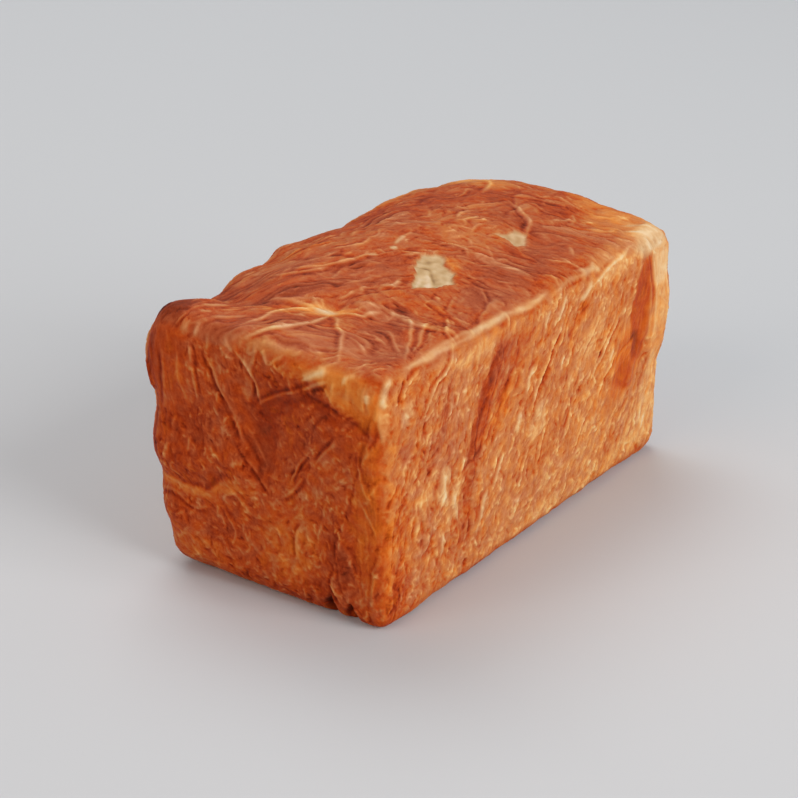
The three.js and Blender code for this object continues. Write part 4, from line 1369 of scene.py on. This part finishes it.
@dataclass(frozen=True)
class DanishCrust:
    """Baked laminated dough: thin browned layers brushed by butter.

    Browned starch and butter give a half-matte skin that goes from cream through golden and orange brown to
    mahogany as it gets hotter, with a faint sheen on the smooth sheets and a dry look on the flakes. Each run
    of colours goes from the least baked to the most baked.
    """

    name: str = "baked laminated dough crust"
    browning: ColourRun = (
        (0.0, "E8CD98"),
        (0.2, "E2AC6C"),
        (0.4, "CC824D"),
        (0.55, "BF6C38"),
        (0.68, "B94B1B"),
        (0.8, "9C3410"),
        (0.9, "7E240B"),
        (1.0, "5A1807"),
    )
    golden: ColourRun = ((0.0, "F0C27C"), (0.4, "E8933B"), (0.62, "DE7521"), (0.8, "AE5210"), (1.0, "692806"))
    # A pinkish brown of the crust's own, which on the top also paints the greyish sheen of glossy crust.
    mauve: ColourRun = ((0.0, "DDB096"), (0.4, "C27E5E"), (0.62, "AC6445"), (0.8, "8B4026"), (1.0, "501C0D"))
    raw_dough: ColourRun = ((0.0, "E3CDB2"), (0.3, "D2B790"), (0.6, "BD9D72"), (1.0, "957450"))
    sheen: str = "E8A468"
    crumb_mm: float = 0.9
    crumb_tone: float = 0.12
    crumb_roughness: float = 0.2
    flake_mm: float = 2.4
    flake_tone: float = 0.14
    noise_detail: float = 3.0
    noise_roughness: float = 0.6
    hue_strength: float = 0.6
    roughness: float = 0.5
    butter_gloss: float = 0.12
    specular: float = 0.12
    ior: float = 1.45
    bump_mm: float = 0.16
    bump_strength: float = 0.55

    def build(self) -> bpy.types.Material:
        """Makes the material.

        Returns:
            The crust's material, which reads the crust's own attributes.
        """
        material = bpy.data.materials.new(self.name)
        tree = empty_tree(material)
        place = add_node(tree, "TexCoord").outputs["Object"]
        crumbs = self.speckle(tree, place, self.crumb_mm)
        flakes = self.speckle(tree, place, self.flake_mm)
        bumps = {"Strength": self.bump_strength, "Distance": self.bump_mm * MM, "Height": crumbs}
        skin = {
            "Base Color": self.browned_colour(tree, crumbs, flakes),
            "Roughness": self.roughness_from(tree, crumbs),
            "IOR": self.ior,
            "Normal": add_node(tree, "Bump", bumps).outputs["Normal"],
            "Specular IOR Level": self.specular,
            "Specular Tint": linear_colour(self.sheen),
        }
        add_node(tree, "OutputMaterial", {"Surface": add_node(tree, "BsdfPrincipled", skin).outputs["BSDF"]})
        return material

    def speckle(self, tree: Tree, place: Socket, grain_mm: float) -> Socket:
        """Adds even noise with a real grain size in mm."""
        inputs = {"Vector": place, "Scale": 1.0 / (grain_mm * MM)}
        inputs |= {"Detail": self.noise_detail, "Roughness": self.noise_roughness}
        return add_node(tree, "TexNoise", inputs).outputs["Fac"]

    def attribute(self, tree: Tree, name: str) -> Socket:
        """Reads one of the crust's attributes."""
        return add_node(tree, "Attribute", attribute_name=name).outputs["Fac"]

    def scaled(
        self, tree: Tree, value: Socket, factor: float, more: float | Socket = 0.0, clamped: bool = False
    ) -> Socket:
        """Multiplies a value and adds to it.

        Args:
            tree: the material's nodes.
            value: the socket with the value.
            factor: what it is multiplied by.
            more: what is added then.
            clamped: whether the result is kept between 0 and 1.

        Returns:
            The result's socket.
        """
        inputs = {0: value, 1: factor, 2: more}
        return add_node(tree, "Math", inputs, operation="MULTIPLY_ADD", use_clamp=clamped).outputs[0]

    def blended(self, tree: Tree, share: Socket, under: Socket, over: Socket) -> Socket:
        """Lays a share of one colour over another."""
        inputs = {"Factor": share, "A": under, "B": over}
        return add_node(tree, "Mix", inputs, data_type="RGBA").outputs["Result"]

    def ramp(self, tree: Tree, colours: ColourRun, share: Socket) -> Socket:
        """Adds a run of colours.

        Args:
            tree: the material's nodes.
            colours: each colour's place from 0 to 1 and its code.
            share: the socket that picks the place.

        Returns:
            The colour socket.
        """
        node = add_node(tree, "ValToRGB", {"Fac": share})
        stops = node.color_ramp.elements
        for position, _ in colours[1:-1]:
            stops.new(position)
        for stop, (position, code) in zip(stops, colours, strict=True):
            stop.position = position
            stop.color = linear_colour(code)
        return node.outputs["Color"]

    def browned_colour(self, tree: Tree, crumbs: Socket, flakes: Socket) -> Socket:
        """Colours the crust by how far it has browned.

        Args:
            tree: the material's nodes.
            crumbs: noise of the size of crumbs.
            flakes: noise of the size of flakes.

        Returns:
            The colour socket.
        """
        crumby = self.scaled(tree, crumbs, self.crumb_tone, -self.crumb_tone / 2)
        flaky = self.scaled(tree, flakes, self.flake_tone, -self.flake_tone / 2)
        both = add_node(tree, "Math", {0: crumby, 1: flaky}).outputs[0]
        # The browning attribute also carries painted shade in grooves, pits and gaps and a painted contact
        # shadow at the foot.
        brown = {0: self.attribute(tree, "browning"), 1: both}
        total = add_node(tree, "Math", brown, use_clamp=True).outputs[0]
        hue = self.attribute(tree, "hue")
        colour = self.ramp(tree, self.browning, total)
        # Mauve also paints the greyish sheen of the top.
        for codes, strength in ((self.golden, self.hue_strength), (self.mauve, -self.hue_strength)):
            share = self.scaled(tree, hue, strength, clamped=True)
            colour = self.blended(tree, share, colour, self.ramp(tree, codes, total))
        dough = self.ramp(tree, self.raw_dough, total)
        return self.blended(tree, self.attribute(tree, "raw"), colour, dough)

    def roughness_from(self, tree: Tree, crumbs: Socket) -> Socket:
        """Makes smooth sheets glossier than flaky ones.

        Args:
            tree: the material's nodes.
            crumbs: noise of the size of crumbs.

        Returns:
            The roughness socket.
        """
        smooth = self.scaled(tree, self.attribute(tree, "calm"), -self.butter_gloss, self.roughness)
        return self.scaled(tree, crumbs, self.crumb_roughness, smooth)


@dataclass
class Loaf:
    """The loaf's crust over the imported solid, in six wedges.

    node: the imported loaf. fineness: how often each facet is halved. deepest_mm and highest_mm: how far the
    crust's relief may go. face_blend: how squarely a point looks a face's way where that face starts to show
    and where it shows alone. under: how squarely a point looks down where the tin's floor starts to press and
    where it presses fully. pressed: the share of the relief that the floor takes away. notch_mm: the relief
    of a notch that the floor leaves alone, and of one that it presses flat.
    """

    node: Piece
    fineness: int = 3
    deepest_mm: float = -4.5
    highest_mm: float = 2.4
    face_blend: Point = (0.5, 0.78)
    under: Point = (0.7, 0.95)
    pressed: float = 0.85
    notch_mm: Point = (-2.2, -1.4)

    def build(self) -> list[Piece]:
        """Models the crust and dresses it.

        Returns:
            The wedges.
        """
        whole = self.fine_copy()
        self.mark_faces(whole)
        self.refine(whole)
        self.raise_crust(whole)
        wedges = self.part_wedges(whole)
        finish = DanishCrust().build()
        for wedge in wedges:
            wedge.data.materials.clear()
            wedge.data.materials.append(finish)
            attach(wedge, "root")
            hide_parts("loaf")
        return wedges

    def fine_copy(self) -> Piece:
        """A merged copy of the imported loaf, in quads."""
        piece = bpy.data.objects.new("crust", self.node.data.copy())
        bpy.context.scene.collection.objects.link(piece)
        select_only(piece)
        bpy.ops.object.mode_set(mode="EDIT")
        bpy.ops.mesh.select_all(action="SELECT")
        bpy.ops.mesh.remove_doubles(threshold=1e-6)
        bpy.ops.mesh.tris_convert_to_quads(face_threshold=math.pi, shape_threshold=math.pi)
        bpy.ops.object.mode_set(mode="OBJECT")
        return piece

    def mark_faces(self, piece: Piece) -> None:
        """Gives each face of the mesh the number of the tin's face that it lies nearest to.

        Args:
            piece: the merged copy.
        """
        mesh = piece.data
        middles = read_numbers(mesh.polygons, "center", 3) / MM
        gaps = [(middles - design.side.corner) @ design.side.outward for design in DESIGNS]
        nearest = np.argmax(np.array(gaps), axis=0)
        mesh.materials.clear()
        for _ in DESIGNS:
            mesh.materials.append(None)
        mesh.polygons.foreach_set("material_index", nearest.astype(np.int32))

    def refine(self, piece: Piece) -> None:
        """Rounds the facets off into about half a millimetre of mesh.

        Args:
            piece: the marked copy.
        """
        fine = piece.modifiers.new("fine mesh", "SUBSURF")
        fine.levels = fine.render_levels = self.fineness
        bpy.ops.object.modifier_apply(modifier=fine.name)

    def raise_crust(self, piece: Piece) -> None:
        """Moves the surface out and in by the crust's relief and keeps its finish with it.

        Args:
            piece: the fine copy.
        """
        mesh = piece.data
        places = read_numbers(mesh.vertices, "co", 3) / MM
        normals = read_numbers(mesh.vertex_normals, "vector", 3)
        layer = self.crust_at(places)
        kept_flat = self.flat_on_tin(normals, layer.rise)
        rise = np.clip(layer.rise, self.deepest_mm, self.highest_mm) * (1.0 - kept_flat)
        moved = places + normals * rise[:, None]
        moved[:, 2] = np.maximum(moved[:, 2], 0.0)
        mesh.vertices.foreach_set("co", (moved * MM).astype(np.float32).ravel())
        mesh.update()
        # browning also carries the painted shade and contact shadow worked out with it.
        for name, values in (
            ("browning", layer.brown.clip(0, 1)),
            ("hue", layer.hue.clip(-1, 1)),
            ("raw", layer.raw.clip(0, 1)),
            ("calm", layer.calm.clip(0, 1)),
        ):
            attribute = mesh.attributes.new(name, "FLOAT", "POINT")
            attribute.data.foreach_set("value", values.astype(np.float32))
        kept = mesh.attributes.new("crust_normal", "FLOAT_VECTOR", "POINT")
        raised = read_numbers(mesh.vertex_normals, "vector", 3)
        kept.data.foreach_set("vector", raised.astype(np.float32).ravel())

    def flat_on_tin(self, normals: Grid, rise: Grid) -> Grid:
        """How far the tin's floor kept the underside flat, apart from its deep notches.

        Args:
            normals: the way each point looks.
            rise: the relief there in mm.

        Returns:
            The share of the relief that is taken away at each point.
        """
        return self.pressed * ramp_up(*self.under, -normals[:, 2]) * ramp_up(*self.notch_mm, rise)

    def crust_at(self, places: Grid) -> CrustLayer:
        """Works out the crust at places on the loaf, blended where two faces meet.

        Args:
            places: points near the surface in mm, one row each.

        Returns:
            The crust at each place.
        """
        middle = np.array([*TIN_MIDDLE, HEIGHT / 2])
        half = np.array([LENGTH, WIDTH, HEIGHT]) / 2 - EDGE_ROUND
        away = places - middle
        away -= np.clip(away, -half, half)
        away /= np.linalg.norm(away, axis=1)[:, None] + 1e-9
        shares = np.array([ramp_up(*self.face_blend, away @ design.side.outward) for design in DESIGNS])
        shares /= shares.sum(axis=0) + 1e-9
        whole = CrustLayer.bare(len(places))
        for design, share in zip(DESIGNS, shares, strict=True):
            chosen = np.flatnonzero(share > LEAST_SHARE)
            local = places[chosen] - design.side.corner
            painter = FacePainter(design, local @ design.side.along, local @ design.side.across)
            whole.add(chosen, painter.paint(), share[chosen])
            LOG.info("%s crust worked out at %d points", design.side.name, len(chosen))
        return whole

    def part_wedges(self, piece: Piece) -> list[Piece]:
        """Parts the loaf into a wedge for each face of the tin, closed to the loaf's middle.

        Args:
            piece: the raised crust.

        Returns:
            The wedges.
        """
        select_only(piece)
        bpy.ops.object.mode_set(mode="EDIT")
        bpy.ops.mesh.separate(type="MATERIAL")
        bpy.ops.object.mode_set(mode="OBJECT")
        parts = [o for o in bpy.context.selected_objects if o.type == "MESH"]
        heart = Vector([c * MM for c in (*TIN_MIDDLE, HEIGHT / 2)])
        for part in parts:
            faces_way = read_numbers(part.data.polygons, "normal", 3).mean(axis=0)
            side = max(Side, key=lambda s, way=faces_way: float(way @ s.outward))
            part.name = "crust_" + side.name.lower()
            part.data.name = part.name
            self.close_wedge(part, heart)
        return sorted(parts, key=lambda o: o.name)

    def close_wedge(self, part: Piece, heart: Vector) -> None:
        """Closes one face's crust with walls to the middle of the loaf.

        Args:
            part: the open crust.
            heart: the middle of the loaf.
        """
        select_only(part)
        bpy.ops.object.mode_set(mode="EDIT")
        bpy.ops.mesh.select_mode(type="EDGE")
        bpy.ops.mesh.select_all(action="DESELECT")
        other_edges = ("use_wire", "use_multi_face", "use_non_contiguous", "use_verts")
        bpy.ops.mesh.select_non_manifold(extend=False, use_boundary=True, **dict.fromkeys(other_edges, False))
        bpy.ops.mesh.extrude_edges_move()
        bpy.ops.mesh.select_mode(type="VERT")
        bpy.ops.mesh.merge(type="CENTER")
        bpy.ops.object.mode_set(mode="OBJECT")
        mesh = part.data
        normals = read_numbers(mesh.attributes["crust_normal"].data, "vector", 3)
        for index, vertex in enumerate(mesh.vertices):
            if vertex.select:
                vertex.co = heart
                normals[index] = 0.0
        mesh.polygons.foreach_set("use_smooth", [True] * len(mesh.polygons))
        mesh.polygons.foreach_set("material_index", [0] * len(mesh.polygons))
        mesh.normals_split_custom_set_from_vertices(normals.tolist())
        mesh.attributes.remove(mesh.attributes["crust_normal"])


def read_numbers(items: Sequence, name: str, width: int) -> Grid:
    """Reads one property of many items.

    Args:
        items: a collection such as a mesh's vertices.
        name: the property.
        width: how many numbers it holds.

    Returns:
        One row for each item.
    """
    found = np.zeros(len(items) * width, np.float32)
    items.foreach_get(name, found)
    return found.reshape(-1, width).astype(float)


def select_only(piece: Piece) -> None:
    """Selects one object and nothing else."""
    bpy.ops.object.select_all(action="DESELECT")
    piece.select_set(True)
    bpy.context.view_layer.objects.active = piece


@dataclass(frozen=True)
class PhotoCamera:
    """A camera where the photograph was taken from, in metres and degrees."""

    eye: Triple = (-0.644019, -0.427065, 0.35696)
    yaw: float = 55.772
    pitch: float = 22.125
    roll: float = 0.163
    lens: float = 97.63
    sensor: float = 36.0

    def build(self) -> Piece:
        """Makes the camera the scene's own.

        Returns:
            The camera object.
        """
        yaw, pitch, roll = (math.radians(a) for a in (self.yaw, self.pitch, self.roll))
        ahead = Vector((math.sin(yaw) * math.cos(pitch), math.cos(yaw) * math.cos(pitch), -math.sin(pitch)))
        level = Vector((math.cos(yaw), -math.sin(yaw), 0.0))
        down = ahead.cross(level)
        right = math.cos(roll) * level + math.sin(roll) * down
        below = math.cos(roll) * down - math.sin(roll) * level
        turned = Matrix((right, -below, -ahead)).transposed().to_4x4()
        data = bpy.data.cameras.new("photo camera")
        data.lens = self.lens
        data.sensor_width = self.sensor
        data.clip_end = 30.0
        camera = bpy.data.objects.new("photo camera", data)
        camera.matrix_world = Matrix.Translation(self.eye) @ turned
        bpy.context.scene.collection.objects.link(camera)
        bpy.context.scene.camera = camera
        return camera


@dataclass(frozen=True)
class SoftLamp:
    """A square studio lamp with a diffuser, in metres and watts."""

    name: str
    place: Triple
    target: Triple
    size: float
    power: float
    colour: str = "FFFFFF"

    def build(self) -> Piece:
        """Hangs the lamp so that it looks at its target.

        Returns:
            The lamp object.
        """
        data = bpy.data.lights.new(self.name, "AREA")
        data.shape = "SQUARE"
        data.size = self.size
        data.energy = self.power
        data.color = linear_colour(self.colour)[:3]
        lamp = bpy.data.objects.new(self.name, data)
        lamp.location = self.place
        ahead = Vector(self.target) - Vector(self.place)
        lamp.rotation_euler = ahead.to_track_quat("-Z", "Y").to_euler()
        bpy.context.scene.collection.objects.link(lamp)
        return lamp


@dataclass(frozen=True)
class Studio:
    """A plain pale floor and soft light from all round, brightest from the camera's right."""

    floor_span: float = 16.0
    floor_corners: int = 96
    floor_colour: str = "CDD2D9"
    sky_colour: str = "D8D8D8"
    sky_strength: float = 0.42
    lamps: tuple[SoftLamp, ...] = (
        SoftLamp("window light", (-0.2, -2.3, 1.15), (0, 0, 0.05), 1.5, 48.0, "FFFAF3"),
        SoftLamp("ceiling light", (0.9, 1.2, 2.3), (0, 0, 0.05), 1.8, 31.0, "FFFBF5"),
        SoftLamp("fill light", (-2.2, 0.5, 1.2), (0, 0, 0.05), 1.6, 19.0, "FFE8D4"),
    )

    def build(self) -> Piece:
        """Lays the floor and hangs the lamps.

        Returns:
            The floor, which isn't part of the loaf.
        """
        bpy.ops.object.select_all(action="DESELECT")
        bpy.ops.mesh.primitive_circle_add(
            vertices=self.floor_corners, radius=self.floor_span / 2, fill_type="NGON"
        )
        floor = bpy.context.active_object
        floor.name = "studio_floor"
        floor.data.materials.append(self.floor_finish())
        for lamp in self.lamps:
            lamp.build()
        self.build_sky()
        return floor

    def floor_finish(self) -> bpy.types.Material:
        """Matte pale paint."""
        material = bpy.data.materials.new("matte pale studio paint")
        tree = empty_tree(material)
        paint = {"Base Color": linear_colour(self.floor_colour), "Roughness": 0.85, "Specular IOR Level": 0.2}
        add_node(tree, "OutputMaterial", {"Surface": add_node(tree, "BsdfPrincipled", paint).outputs["BSDF"]})
        return material

    def build_sky(self) -> None:
        """Pale even light from all round."""
        world = bpy.data.worlds.new("studio surround")
        bpy.context.scene.world = world
        tree = empty_tree(world)
        glow = {"Color": linear_colour(self.sky_colour), "Strength": self.sky_strength}
        add_node(tree, "OutputWorld", {"Surface": add_node(tree, "Background", glow).outputs["Background"]})


def main() -> None:
    """Builds the studio and the loaf."""
    logging.basicConfig(level=logging.INFO, format="%(name)s: %(message)s")
    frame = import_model()
    bpy.context.scene.view_settings.view_transform = "Standard"
    PhotoCamera().build()
    Studio().build()
    for piece in Loaf(frame["nodes"]["loaf"]).build():
        LOG.info("%s: %d faces", piece.name, len(piece.data.polygons))


if __name__ == "__main__":
    main()
